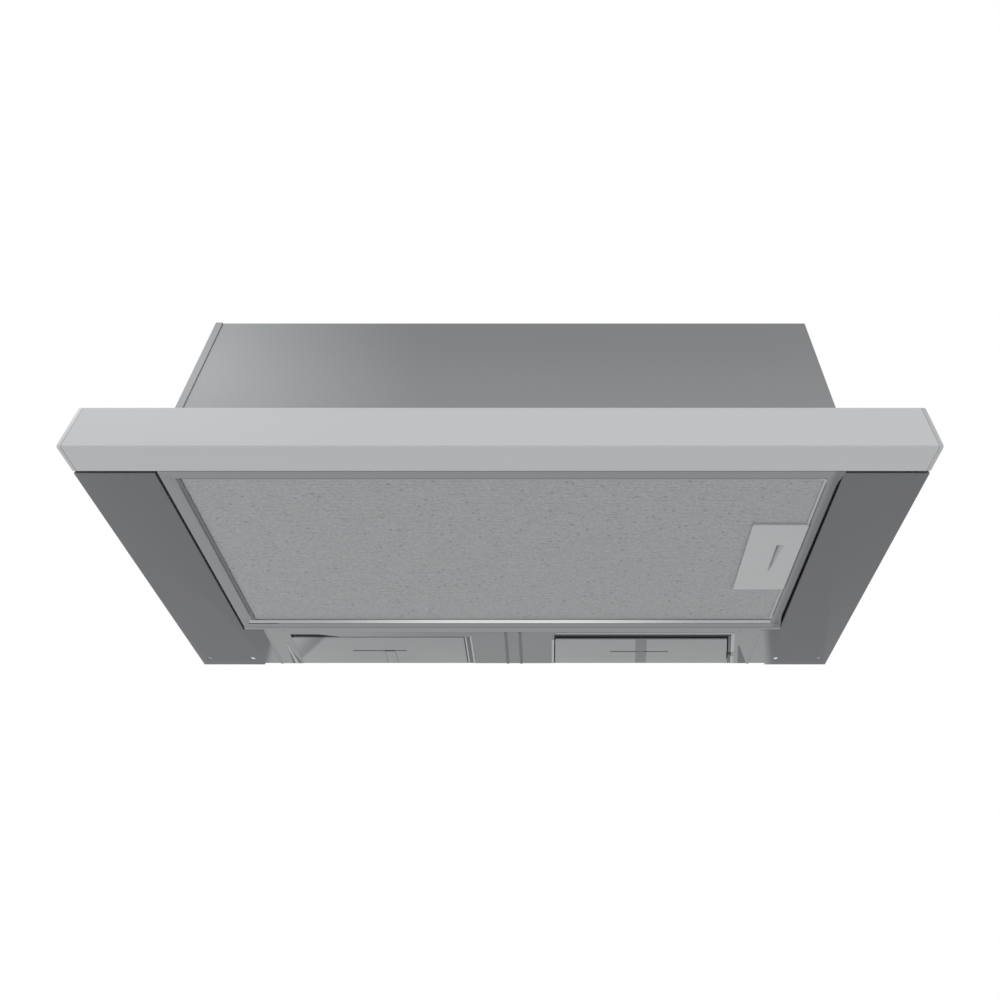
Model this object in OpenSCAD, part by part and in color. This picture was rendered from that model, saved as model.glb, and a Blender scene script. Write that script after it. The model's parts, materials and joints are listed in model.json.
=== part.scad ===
// Built-in telescopic range hood, 60 cm class.
// +X runs along the fascia, +Y runs from the fascia to the wall, +Z is up.
// The origin is the middle of the underside's outline.

/* [Overall] */
// Width over the fascia and the wings
hood_w = 600; // [580:10:900]
// Depth from the fascia's face to the wall
hood_d = 296; // [292:2:340]
// Height of the box that goes up into the cabinet, from the underside
body_top_z = 180; // [178:1:240]
// Distance of the box's side from the hood's side
body_side_in = 47; // [42:1:54]
// Distance from the fascia's face to the box's front
body_setback = 28.5; // [27.5:0.5:34]
// Steel sheet thickness
sheet_t = 1; // [0.8:0.1:1.2]
// Width of the flanges inside the box
box_flange_w = 12; // [8:0.5:14]
// Width of the left side's flange that laps over the front
front_lap_w = 6; // [4:0.5:10]

/* [Fascia] */
// Height of the fascia
fascia_h = 40; // [36:1:48]
// Depth of the fascia profile
fascia_d = 24.5; // [18:0.5:25]
// Wall of the fascia profile
fascia_wall = 1.5; // [1.2:0.1:2.5]
// Radius of the fascia's long edges
fascia_edge_r = 2; // [1:0.25:4]
// Thickness of the end caps
end_cap_t = 3; // [2:0.5:5]
// Depth that an end cap's plug reaches into the profile
cap_plug_d = 8; // [4:1:15]
// Gap between the shut fascia and the wings
fascia_gap = 2; // [1:0.5:3]

/* [Wings] */
// Width of each wing
wing_w = 56.5; // [54:0.5:70]
// Height of the wings' top deck
wing_h = 38; // [36:0.5:44]
// Thickness of the dark cover below each wing
wing_cover_t = 1.5; // [1.5:0.25:2.5]
// Width of the cover's foot behind the drawer, with its seam
wing_foot_w = 18.5; // [16:0.5:22]
// Width of the flange that the cover's screws hold at the rear of each wing
wing_flange_d = 18; // [16:1:26]
// Radius of the four cabinet screw holes
deck_hole_r = 2.5; // [2:0.25:3]
// Distance of the cabinet screw holes from the wing's outer edge
deck_hole_side_in = 28; // [20:1:34]
// Spacing of the cabinet screw holes from front to rear
deck_hole_dy = 180; // [120:5:220]
// Distance of the outer cover screws from the wing's outer edge
screw_outer_in = 9; // [6:0.5:14]
// Distance of the inner cover screws from the wing's inner wall
screw_inner_in = 6.5; // [5:0.5:12]
// Distance of the cover screws from the rear edge
screw_rear_in = 11; // [8:0.5:14]
// Radius of a cover screw's head
screw_head_r = 3; // [2.5:0.25:4]
// Radius of a cover screw's shank
screw_r = 1.5; // [1.25:0.25:2]
// Length of a cover screw
screw_l = 9; // [6:0.5:14]

/* [Drawer] */
// Running gap on each side of the pull-out frame
drawer_gap = 2.5; // [2:0.25:4]
// Gap behind the shut pull-out frame
drawer_end_gap = 0.8; // [0.5:0.1:2]
// Height of the frame's upstanding walls
drawer_wall_h = 28; // [26:0.5:30]
// Width of the frame's side lips
side_lip_w = 10; // [9:0.5:12]
// Width of the frame's front lip
front_lip_w = 9; // [7:0.5:12]
// Width of the frame's rear lip
rear_lip_w = 10; // [8:0.5:14]

/* [Runners] */
// Height of a guide channel
guide_h = 20; // [18:1:22]
// Height of the guide channel's underside
guide_z = 10; // [9:0.5:11]
// Gap above and below the rail inside its guide
rail_play = 1; // [0.8:0.1:1.5]
// Clearance that a glide pad leaves in the guide
glide_gap = 0.3; // [0.2:0.05:0.5]
// Length of a glide pad
glide_l = 30; // [20:1:40]
// Distance between the rail's rear end and the hood's rear sheet
rail_rear_gap = 3.5; // [2:0.5:8]

/* [Grease filter] */
// Gap between the cassette and the frame's side walls
filter_gap_x = 2; // [2:0.25:3]
// Gap between the cassette and the frame's front and rear walls
filter_gap_y = 1; // [0.8:0.1:1.5]
// Height of the cassette's underside
filter_z = 1.6; // [1.4:0.1:2]
// Thickness of the cassette
filter_t = 9; // [8:0.5:12]
// Width of the cassette's rim
filter_rim_w = 3; // [2.5:0.5:5]
// Thickness of the cassette's aluminium
filter_sheet_t = 1; // [0.8:0.1:1.2]
// Thickness of each expanded mesh sheet
mesh_t = 1.5; // [1:0.25:2]
// Distance of the hinge pins from the cassette's left edge
filter_pin_in = 6; // [5:0.25:8]
// Radius of the hinge pins
filter_pin_r = 1.6; // [1.25:0.05:2]
// Radial clearance of the hinge pins
pin_clear = 0.05; // [0.02:0.01:0.1]

/* [Filter latch] */
// Width of the latch plate, across the hood
latch_w = 41; // [36:1:46]
// Length of the latch plate, from front to rear
latch_l = 85; // [70:1:100]
// Middle of the latch plate, from the middle of the hood
latch_y = -21; // [-40:1:0]
// Chamfer of the plate's front inner corner
latch_chamfer = 6; // [2:0.5:10]
// Width of the slider
slider_w = 14; // [12:0.5:15]
// Length of the slider, from front to rear
slider_l = 39; // [30:1:46]
// Travel of the slider
latch_travel = 4; // [3:0.5:4.5]
// Width of the bolt
bolt_w = 18; // [12:1:24]
// Height of the bolt
bolt_h = 3; // [2:0.5:3]
// Clearance round the slider
slider_clear = 0.3; // [0.2:0.05:0.5]
// Depth of the finger scoop
scoop_d = 5; // [3:0.5:6]

/* [Lamps] */
// Distance from the middle of the hood to a lamp window
lamp_in_x = 38; // [30:1:60]
// Distance from a lamp window to the lamp panel's side
lamp_side_in = 21; // [15:1:30]
// Depth of a lamp window
lamp_d = 53; // [50:0.5:54]
// Width of the strip that the shut drawer meets
rear_rail_w = 8.2; // [6:0.1:9]
// Height of the strip's upstand
rear_rail_h = 8; // [5:0.5:9]
// Width of the lamp panel's rim in front of a window, with its seam
lamp_rim_w = 5; // [4:0.5:10]
// Height of the lamp panel's underside
lamp_panel_z = 0.8; // [0.6:0.1:1]
// Thickness of a lamp cover
lamp_cover_t = 1.6; // [1.2:0.1:2]
// Gap in front of a lamp cover
lamp_cover_gap = 3.5; // [2:0.5:4]
// Radius of a lamp cover's hinge pins
lamp_pin_r = 1; // [0.8:0.1:1.2]
// Distance of a lamp cover's slot from the hood's rear sheet
lamp_slot_in = 24; // [18:1:32]
// Length of the slot in a lamp cover
lamp_slot_l = 52; // [40:1:60]
// Width of the slot in a lamp cover
lamp_slot_w = 1.2; // [0.8:0.1:2]
// Width of the finger tab behind the slot
lamp_tab_w = 9.5; // [8:0.5:12]
// Radius of a bulb
bulb_r = 11; // [9:0.5:12]
// Length of a bulb's glass
bulb_l = 74; // [60:1:90]
// Radius of a lamp holder
holder_r = 12.5; // [11:0.5:13]
// Length of a lamp holder
holder_l = 28; // [24:1:34]

/* [Inner filter] */
// Distance of the inlet window from the wings
inlet_side_in = 28.5; // [26:0.5:45]
// Distance of the inlet window from the box's front
inlet_front_in = 14; // [12:0.5:20]
// Distance of the inlet window from the lamp trays
inlet_rear_in = 27.5; // [24:0.5:36]
// Overlap of the inner filter on the inlet plate
inner_filter_lap = 6; // [4:0.5:8]
// Thickness of the inner filter
inner_filter_t = 6; // [5:0.5:7]

/* [Blower] */
// Radius of the blower wheel
wheel_r = 48; // [44:1:50]
// Radial depth of the blades
blade_d = 9; // [7:0.5:11]
// Length of each of the two rows of blades
blade_l = 43.4; // [36:0.1:50]
// Thickness of a blade
blade_t = 0.9; // [0.8:0.1:1.2]
// Number of blades in a row
blade_count = 32; // [24:1:40]
// Angle that a blade sweeps from its inner to its outer edge
blade_sweep = 15; // [5:1:20]
// Thickness of the wheel's middle disc
wheel_disc_t = 1.2; // [1:0.1:2]
// Thickness of the wheel's end rings
wheel_ring_t = 1.5; // [1:0.1:2]
// Radius of the motor shaft
shaft_r = 4; // [3:0.5:5]
// Gap between the wheel and the casing's tongue
tongue_gap = 3.5; // [2.5:0.5:5]
// Gap between the wheel and the casing's side walls
wheel_side_gap = 3; // [2.5:0.5:5]
// Growth rate of the casing's spiral, per radian
spiral_k = 0.062; // [0.055:0.001:0.066]
// Angle of the casing's tongue above the wheel's axis
tongue_a = 60; // [55:1:65]
// Wall of the casing
scroll_wall = 1.5; // [1.2:0.1:2]
// Height of the wheel's axis below the top of the box
wheel_drop = 65; // [62:1:66]
// Radius of the bell mouths
inlet_r = 37.5; // [36:0.5:38]
// Rounding of the bell mouths
bell_r = 4; // [3:0.5:5]
// Radius of the motor
motor_r = 28; // [24:1:30]
// Length of the motor
motor_l = 66; // [56:1:72]

/* [Outlet] */
// Outer radius of the duct collar
spigot_r = 59.5; // [56:0.5:62]
// Height of the duct collar
spigot_h = 40; // [30:1:60]
// Wall of the duct collar
spigot_wall = 2; // [1.5:0.25:3]
// Radius of the duct collar's flange
spigot_flange_r = 68; // [66:1:72]
// Thickness of the duct collar's flange
spigot_flange_t = 2.5; // [2:0.5:4]
// Middle of the duct collar, from the middle of the hood
spigot_y = 10; // [0:1:20]
// Radius of the damper flaps' pin
damper_pin_r = 1.5; // [1.25:0.25:2]
// Height of the damper pin above the top of the box
damper_pin_z = 10; // [8:1:14]
// Thickness of a damper flap
flap_t = 1; // [0.8:0.1:1.5]
// Gap round the damper flaps
flap_gap = 1; // [0.8:0.1:1.5]

/* [Electrics] */
// Radius of the mains cable's passage
gland_bore_r = 4.2; // [3.5:0.1:5]
// Distance of the cable gland from the box's side
gland_side_in = 73; // [50:1:100]
// Distance of the cable gland from the box's rear sheet
gland_rear_in = 67; // [45:1:90]
// Place of the capacitor across the hood
cap_x = 130; // [110:5:160]
// Distance of the capacitor's middle from the box's front panel
cap_front_in = 47.5; // [30:2.5:60]
// Radius of the capacitor
cap_r = 15; // [12:1:18]
// Length of the capacitor
cap_l = 50; // [40:1:60]
// Width of the switch block
switch_w = 36; // [34:1:40]
// Height of the switch block
switch_h = 22; // [20:1:24]
// Depth of the switch block
switch_d = 15; // [12:1:20]
// Height of the switch block's middle
switch_z = 20; // [18:1:22]
// Travel of the light switch
light_travel = 8; // [6:1:10]
// Travel of the speed switch
speed_travel = 16; // [12:1:18]

/* [Hidden] */
$fn = 64;

// Places along the depth, all from the middle of the hood
y_front = -hood_d / 2;
y_rear = hood_d / 2;
rear_in_y = y_rear - sheet_t;
fascia_rear_y = y_front + fascia_d;
wing_front_y = fascia_rear_y + fascia_gap;
body_front_y = y_front + body_setback;
window_y = rear_in_y - lamp_d;
strip_rear_y = window_y - lamp_rim_w;
strip_y = strip_rear_y - rear_rail_w;
drawer_rear_y = strip_y - drawer_end_gap;
seam = 0.5;
panel_y = strip_rear_y + seam;

// Flanges of the box
flange_gap = 2;
top_flange_h = 10;

// Places across the width
wing_x = hood_w / 2;
body_x = wing_x - body_side_in;
channel_x = wing_x - wing_w;
drawer_x = channel_x - drawer_gap;
lamp_panel_x = channel_x - wing_foot_w;
inlet_x = channel_x - inlet_side_in;

// Drawer opening and cassette
opening_x = drawer_x - side_lip_w;
opening_front_y = fascia_rear_y + front_lip_w;
opening_rear_y = drawer_rear_y - rear_lip_w;
filter_x = opening_x - filter_gap_x;
filter_front_y = opening_front_y + filter_gap_y;
filter_rear_y = opening_rear_y - filter_gap_y;
filter_top_z = filter_z + filter_t;
filter_in_x = filter_x - filter_sheet_t;
filter_in_front_y = filter_front_y + filter_sheet_t;
filter_in_rear_y = filter_rear_y - filter_sheet_t;
mesh_z = filter_z + filter_sheet_t;
mesh_top_z = filter_top_z - filter_sheet_t;
filter_pin_x = -filter_x + filter_pin_in;
filter_pin_z = filter_z + filter_t / 2;
lip_step = 1;
roll_r = side_lip_w / 2;

// Latch, on the cassette's right rim
latch_front_y = latch_y - latch_l / 2;
latch_rear_y = latch_y + latch_l / 2;
latch_left_x = filter_x - latch_w;
latch_plate_z = 0.4;
slider_left_x = filter_in_x - latch_travel - 0.5 - slider_w;
slider_front_y = latch_y - slider_l / 2;
slider_rear_y = latch_y + slider_l / 2;
slider_z = 0.8;
slider_top_z = mesh_top_z - 0.6;
bolt_z = slider_top_z - bolt_h - 0.4;
bay_wall = 1.2;
bay_left_x = slider_left_x - slider_clear - bay_wall;
bay_front_y = slider_front_y - slider_clear - bay_wall;
bay_rear_y = slider_rear_y + slider_clear + bay_wall;

// Runners
rail_rear_y = rear_in_y - rail_rear_gap;
guide_flange_w = drawer_gap + side_lip_w - 2 * sheet_t - 1;
rail_x = opening_x + sheet_t;
rail_low_z = guide_z + sheet_t + rail_play;
rail_top_z = guide_z + guide_h - sheet_t - rail_play;
rail_out_x = channel_x - 2;

// Lamp panel
panel_top_z = lamp_panel_z + sheet_t;
rib_w = 1.5;
rib_x = 6.5;
rib_z = 0.2;
lamp_out_x = lamp_panel_x - lamp_side_in;
lamp_mid_x = (lamp_in_x + lamp_out_x) / 2;
lamp_cover_z = 0.4;
lamp_cover_top_z = lamp_cover_z + lamp_cover_t;
lamp_cover_side_gap = 0.5;
lamp_cover_front_y = window_y + lamp_cover_gap;
lamp_cover_rear_y = rear_in_y - 1.6;
lamp_pin_y = rear_in_y - 5;
lamp_pin_z = lamp_cover_top_z + lamp_pin_r + 0.2;
lamp_slot_y = rear_in_y - lamp_slot_in;
tray_top_z = wing_h - sheet_t;
bulb_y = window_y + lamp_d / 2;
bulb_z = 20;
bulb_base_r = 7;

// Inlet plate and the filter below it
inlet_z = wing_h - sheet_t;
inlet_front_y = body_front_y + sheet_t + inlet_front_in;
inlet_rear_y = window_y - sheet_t - inlet_rear_in;
inner_filter_x = inlet_x + inner_filter_lap;
inner_filter_z = inlet_z - inner_filter_t;
clip_t = 0.8;

// Blower
wheel_z = body_top_z - wheel_drop;
tongue_r = wheel_r + tongue_gap;
tongue_y = tongue_r * cos(tongue_a);
spiral_end_r = tongue_r * exp(spiral_k * (360 - tongue_a) * PI / 180);
wheel_y = spigot_y - (tongue_y + spiral_end_r) / 2;
throat_y = [wheel_y + tongue_y, wheel_y + spiral_end_r];
wheel_bore_r = wheel_r - 0.5 - blade_d;
ring_x = wheel_disc_t / 2 + blade_l;
wheel_x = ring_x + wheel_ring_t;
scroll_in_x = wheel_x + wheel_side_gap;
scroll_x = scroll_in_x + scroll_wall;
top_in_z = body_top_z - sheet_t;
motor_nose_gap = 7.4;
motor_nose_x = -wheel_disc_t / 2 - motor_nose_gap;
motor_end_x = motor_nose_x - motor_l;
post_l = bell_r + scroll_wall + 2;
post_r = 4;
post_ring_r = inlet_r + bell_r + scroll_wall + post_r + 1;
bracket_t = 1.5;
bracket_x = -scroll_x - post_l;
hub_r = 9;
hub_l = 12;
shaft_end_in = 14;
shaft_out = 2;
bore_gap = 2;
shield_l = 8;
shield_step = 4;
nose_l = 3;
nose_r = 10;

// Outlet
spigot_in_r = spigot_r - spigot_wall;
flap_axis_z = body_top_z + damper_pin_z;
flap_r = spigot_in_r - flap_gap;
knuckle_r = damper_pin_r + 1.5;
knuckle_gap = 0.5;
ledge_w = 3;
ledge_t = 1.2;
flap_rest_gap = 0.3;

// Electrics
cap_y = body_front_y + 2 * sheet_t + cap_front_in;
gland_x = body_x - gland_side_in;
gland_y = rear_in_y - gland_rear_in;
gland_r = 8;
terminal_w = 60;
terminal_d = 40;
terminal_h = 30;
switch_off_x = 2;
switch_x = (channel_x + wing_x) / 2 + switch_off_x;
switch_left_x = switch_x - switch_w / 2;
switch_right_x = switch_x + switch_w / 2;
switch_face_y = wing_front_y + 0.2;
slot_d = 5;
knob_w = 9;
knob_h = 6;
slot_left_x = switch_left_x + 4;
knob_x = slot_left_x + slider_clear;
light_z = switch_z - switch_h / 4;
speed_z = switch_z + switch_h / 4;

// Box between two opposite corners
module block(lo, hi) {
    translate(lo) cube(hi - lo);
}

// Extrusion along X of an outline drawn in Y and Z
module along_x(x0, x1) {
    translate([x0, 0, 0]) rotate([90, 0, 90]) linear_extrude(x1 - x0) children();
}

// Extrusion along Y of an outline drawn in X and Z
module along_y(y0, y1) {
    translate([0, y1, 0]) rotate([90, 0, 0]) linear_extrude(y1 - y0) children();
}

// Cylinder along X
module rod_x(r, x0, x1) {
    translate([x0, 0, 0]) rotate([0, 90, 0]) cylinder(r = r, h = x1 - x0);
}

// Cylinder along Y
module rod_y(r, y0, y1) {
    translate([0, y1, 0]) rotate([90, 0, 0]) cylinder(r = r, h = y1 - y0);
}

// Left side as the mirror image of the right side
module on_side(side) {
    mirror([side < 0 ? 1 : 0, 0, 0]) children();
}

module rect(lo, hi) {
    translate(lo) square(hi - lo);
}

module rounded_rect(lo, hi, r) {
    rect([lo[0] + r, lo[1]], [hi[0] - r, hi[1]]);
    rect([lo[0], lo[1] + r], [hi[0], hi[1] - r]);
    for (x = [lo[0] + r, hi[0] - r], y = [lo[1] + r, hi[1] - r])
        translate([x, y]) circle(r = r);
}

// Flat ring between two rectangles, extruded upward
module plate_ring(lo, hi, in_lo, in_hi, z0, z1) {
    difference() {
        block([lo[0], lo[1], z0], [hi[0], hi[1], z1]);
        block([in_lo[0], in_lo[1], z0 - 1], [in_hi[0], in_hi[1], z1 + 1]);
    }
}

// Casing of the box

module front_panel() {
    color("#8c8e8f") {
        block([-body_x + sheet_t, body_front_y + sheet_t, wing_h],
              [body_x, body_front_y + 2 * sheet_t, body_top_z]);
        block([-body_x + box_flange_w, body_front_y + 2 * sheet_t, top_in_z - sheet_t],
              [body_x - box_flange_w - flange_gap, body_front_y + box_flange_w, top_in_z]);
    }
}

// The left side's front flange laps over the front panel
module side_panel_left() {
    color("#a3a5a6") {
        block([-body_x, body_front_y, wing_h], [-body_x + sheet_t, rear_in_y, body_top_z]);
        block([-body_x, body_front_y, wing_h], [-body_x + front_lap_w, body_front_y + sheet_t, body_top_z]);
    }
}

// The right side's front flange lies behind the front panel
module side_panel_right() {
    y0 = body_front_y + 2 * sheet_t;
    color("#8c8e8f") {
        block([body_x - sheet_t, y0, wing_h], [body_x, rear_in_y, body_top_z]);
        block([body_x - box_flange_w, y0, wing_h], [body_x, y0 + sheet_t, top_in_z - flange_gap]);
    }
}

module rear_panel() {
    color("#8c8e8f") {
        block([-body_x, rear_in_y, inlet_z], [body_x, y_rear, body_top_z]);
        block([-channel_x, rear_in_y, wing_cover_t], [channel_x, y_rear, wing_h]);
    }
}

module top_plate() {
    x1 = body_x - sheet_t;
    y0 = body_front_y + 2 * sheet_t;
    flange_y = y0 + box_flange_w + flange_gap;
    color("#8c8e8f") difference() {
        union() {
            block([-x1, y0, top_in_z], [x1, rear_in_y, body_top_z]);
            for (side = [-1, 1]) on_side(side)
                block([x1 - sheet_t, flange_y, top_in_z - top_flange_h], [x1, rear_in_y, body_top_z]);
        }
        translate([0, spigot_y, top_in_z - 1]) cylinder(r = spigot_in_r, h = sheet_t + 2);
        translate([gland_x, gland_y, top_in_z - 1]) cylinder(r = gland_r, h = sheet_t + 2);
    }
}

// Floor of the box, with the window that the inner filter closes
module inlet_plate() {
    y0 = body_front_y + sheet_t;
    color("#7d7f80") {
        plate_ring([-body_x, y0], [body_x, rear_in_y],
                   [-inlet_x, inlet_front_y], [inlet_x, inlet_rear_y], inlet_z, wing_h);
    }
}

// Wings, drawn for the right side

// The deck steps down by a sheet where the floor of the box lies on it
module wing_shell() {
    low_z = wing_cover_t;
    difference() {
        union() {
            difference() {
                union() {
                    block([channel_x, wing_front_y, low_z], [wing_x, y_rear, inlet_z]);
                    block([body_x, wing_front_y, low_z], [wing_x, y_rear, wing_h]);
                }
                block([channel_x + sheet_t, wing_front_y + sheet_t, low_z - 1],
                      [wing_x - sheet_t, rear_in_y, inlet_z - sheet_t]);
                block([body_x + sheet_t, wing_front_y + sheet_t, low_z - 1],
                      [wing_x - sheet_t, rear_in_y, wing_h - sheet_t]);
            }
            block([channel_x, y_rear - wing_flange_d, low_z], [wing_x, y_rear, low_z + sheet_t]);
        }
        translate([wing_x - deck_hole_side_in, 0, wing_h / 2])
            for (y = [-1, 1]) translate([0, y * deck_hole_dy / 2, 0]) cylinder(r = deck_hole_r, h = wing_h);
        for (p = cover_screw_places())
            translate([p[0], p[1], 0]) cylinder(r = screw_r, h = wing_h / 2);
    }
}

function cover_screw_places() = [[wing_x - screw_outer_in, y_rear - screw_rear_in],
                                 [channel_x + screw_inner_in, y_rear - screw_rear_in]];

module wing_left() {
    color("#808284") on_side(-1) wing_shell();
}

// The right wing's front wall has the switch block's cut-out
module wing_right() {
    color("#808284") difference() {
        wing_shell();
        block([switch_left_x, wing_front_y - 1, switch_z - switch_h / 2],
              [switch_right_x, wing_front_y + sheet_t + 1, switch_z + switch_h / 2]);
    }
}

// Cover below a wing, with a foot that reaches behind the drawer
module wing_cover() {
    notch_d = 3.5;
    notch_x = channel_x - 2;
    difference() {
        union() {
            block([channel_x, wing_front_y, 0], [wing_x, y_rear, wing_cover_t]);
            block([lamp_panel_x + seam, panel_y, 0], [channel_x, y_rear, wing_cover_t]);
        }
        block([lamp_panel_x, y_rear - notch_d, -1], [notch_x, y_rear + 1, wing_cover_t + 1]);
        for (p = cover_screw_places()) translate([p[0], p[1], 0]) {
            cylinder(r1 = screw_head_r, r2 = screw_r, h = wing_cover_t);
            cylinder(r = screw_r, h = wing_cover_t + 1);
        }
    }
}

module wing_cover_left() {
    color("#6c6d70") on_side(-1) wing_cover();
}

module wing_cover_right() {
    color("#6c6d70") wing_cover();
}

module cover_screws() {
    color("#d8d9da") for (side = [-1, 1], p = cover_screw_places()) on_side(side)
        translate([p[0], p[1], 0]) {
            cylinder(r1 = screw_head_r, r2 = screw_r, h = wing_cover_t);
            cylinder(r = screw_r, h = screw_l);
        }
}

// Strip that the shut drawer meets
module rear_rail() {
    color("#8a8c8d") {
        block([-channel_x, strip_y, 0], [channel_x, strip_rear_y, sheet_t]);
        block([-lamp_panel_x, strip_rear_y - sheet_t, 0], [lamp_panel_x, strip_rear_y, rear_rail_h]);
    }
}

// Panel round the two lamp windows
module lamp_panel() {
    color("#909293") {
        difference() {
            block([-lamp_panel_x, strip_rear_y, lamp_panel_z], [lamp_panel_x, rear_in_y, panel_top_z]);
            for (side = [-1, 1]) on_side(side)
                block([lamp_in_x, window_y, lamp_panel_z - 1], [lamp_out_x, rear_in_y + 1, panel_top_z + 1]);
        }
        for (x = [-rib_x, rib_x])
            block([x - rib_w / 2, panel_y, rib_z], [x + rib_w / 2, rear_in_y, lamp_panel_z]);
    }
}

// White tray above a lamp window, open below
module lamp_tray() {
    difference() {
        block([lamp_in_x - sheet_t, window_y - sheet_t, panel_top_z], [lamp_out_x + sheet_t, rear_in_y, tray_top_z]);
        block([lamp_in_x, window_y, panel_top_z - 1], [lamp_out_x, rear_in_y + 1, tray_top_z - sheet_t]);
        translate([0, lamp_pin_y, lamp_pin_z])
            rod_x(lamp_pin_r + pin_clear, lamp_in_x - 2 * sheet_t, lamp_out_x + 2 * sheet_t);
    }
}

module lamp_tray_left() {
    color("#e4e4e0") on_side(-1) lamp_tray();
}

module lamp_tray_right() {
    color("#e4e4e0") lamp_tray();
}

// Socket on the tray's inner end wall
module lamp_holder() {
    difference() {
        translate([0, bulb_y, bulb_z]) rod_x(holder_r, lamp_in_x, lamp_in_x + holder_l);
        translate([0, bulb_y, bulb_z]) rod_x(bulb_base_r, lamp_in_x + 6, lamp_in_x + holder_l + 1);
    }
}

module lamp_holder_left() {
    color("#f0efe9") on_side(-1) lamp_holder();
}

module lamp_holder_right() {
    color("#f0efe9") lamp_holder();
}

// Tubular bulb with its screw base
module lamp_bulb() {
    base_x = lamp_in_x + 6;
    glass_x = lamp_in_x + holder_l;
    translate([0, bulb_y, bulb_z]) {
        rod_x(bulb_base_r, base_x, glass_x);
        rod_x(bulb_r, glass_x, glass_x + bulb_l - bulb_r);
        translate([glass_x + bulb_l - bulb_r, 0, 0]) sphere(r = bulb_r);
    }
}

module lamp_bulb_left() {
    color("#f4f2ea") on_side(-1) lamp_bulb();
}

module lamp_bulb_right() {
    color("#f4f2ea") lamp_bulb();
}

// Cover of a lamp window, hinged on two small pins at its rear edge
module lamp_cover() {
    x0 = lamp_in_x + lamp_cover_side_gap;
    x1 = lamp_out_x - lamp_cover_side_gap;
    ear_w = 2.5;
    ear_r = lamp_pin_r + 1.2;
    difference() {
        union() {
            block([x0, lamp_cover_front_y, lamp_cover_z], [x1, lamp_cover_rear_y, lamp_cover_top_z]);
            block([lamp_mid_x - lamp_tab_w / 2, lamp_slot_y, lamp_cover_z - 0.3],
                  [lamp_mid_x + lamp_tab_w / 2, lamp_cover_rear_y, lamp_cover_z]);
            for (x = [x0, x1 - ear_w]) {
                block([x, lamp_pin_y - ear_r, lamp_cover_top_z - 0.1], [x + ear_w, lamp_pin_y + ear_r, lamp_pin_z]);
                translate([0, lamp_pin_y, lamp_pin_z]) rod_x(ear_r, x, x + ear_w);
            }
        }
        block([lamp_mid_x - lamp_slot_l / 2, lamp_slot_y - lamp_slot_w, lamp_cover_z - 1],
              [lamp_mid_x + lamp_slot_l / 2, lamp_slot_y, lamp_cover_top_z + 1]);
    }
    translate([0, lamp_pin_y, lamp_pin_z]) {
        rod_x(lamp_pin_r, lamp_in_x - sheet_t, x0 + ear_w);
        rod_x(lamp_pin_r, x1 - ear_w, lamp_out_x + sheet_t);
    }
}

module lamp_cover_left() {
    color("#a7a9aa") on_side(-1) lamp_cover();
}

module lamp_cover_right() {
    color("#a7a9aa") lamp_cover();
}

// Channel on the wing's inner wall that carries the drawer's rail
module guide() {
    x0 = channel_x - guide_flange_w;
    difference() {
        block([x0, wing_front_y, guide_z], [channel_x, rear_in_y, guide_z + guide_h]);
        block([x0 - 1, wing_front_y - 1, guide_z + sheet_t],
              [channel_x - sheet_t, rear_in_y + 1, guide_z + guide_h - sheet_t]);
    }
}

module guide_left() {
    color("#b5b8ba") on_side(-1) guide();
}

module guide_right() {
    color("#b5b8ba") guide();
}

// Fixed filter below the inlet window

module inner_filter_frame() {
    x0 = inner_filter_x;
    y0 = inlet_front_y - inner_filter_lap;
    y1 = inlet_rear_y + inner_filter_lap;
    rim = inner_filter_lap - 1;
    color("#b9bcbe") {
        plate_ring([-x0, y0], [x0, y1], [-x0 + filter_sheet_t, y0 + filter_sheet_t],
                   [x0 - filter_sheet_t, y1 - filter_sheet_t], inner_filter_z, inlet_z);
        plate_ring([-x0, y0], [x0, y1], [-x0 + rim, y0 + rim], [x0 - rim, y1 - rim],
                   inner_filter_z, inner_filter_z + filter_sheet_t);
    }
}

module inner_filter_mesh() {
    x0 = inner_filter_x - filter_sheet_t;
    y0 = inlet_front_y - inner_filter_lap + filter_sheet_t;
    y1 = inlet_rear_y + inner_filter_lap - filter_sheet_t;
    color("#9a9c9d") block([-x0, y0, inner_filter_z + filter_sheet_t], [x0, y1, inlet_z]);
}

// Spring clips that hold the inner filter up against the inlet plate
module inner_filter_clips() {
    y0 = inlet_front_y - inner_filter_lap;
    y1 = inlet_rear_y + inner_filter_lap;
    clip_w = 18;
    color("#c9cbcc") for (x = [-inlet_x / 2, inlet_x / 2]) translate([x - clip_w / 2, 0, 0]) {
        block([0, y0 - clip_t, inner_filter_z - clip_t], [clip_w, y0, inlet_z]);
        block([0, y0 - clip_t, inner_filter_z - clip_t], [clip_w, y0 + 4, inner_filter_z]);
        block([0, y1, inner_filter_z - clip_t], [clip_w, y1 + clip_t, inlet_z]);
        block([0, y1 - 4, inner_filter_z - clip_t], [clip_w, y1 + clip_t, inner_filter_z]);
    }
}

// Blower casing

function polar(r, a) = [r * cos(a), r * sin(a)];

// Spiral outline with its straight throat, grown outward by a wall
function scroll_outline(grow) =
    let (top = top_in_z - wheel_z,
         start_a = acos((tongue_y - grow) / (tongue_r + grow)),
         steps = 40,
         spiral = [for (i = [0:steps])
             let (a = start_a + (360 - start_a) * i / steps)
             polar(tongue_r * exp(spiral_k * (a - tongue_a) * PI / 180) + grow, a)])
    concat([[tongue_y - grow, top]], spiral, [[spiral_end_r + grow, top]]);

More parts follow.
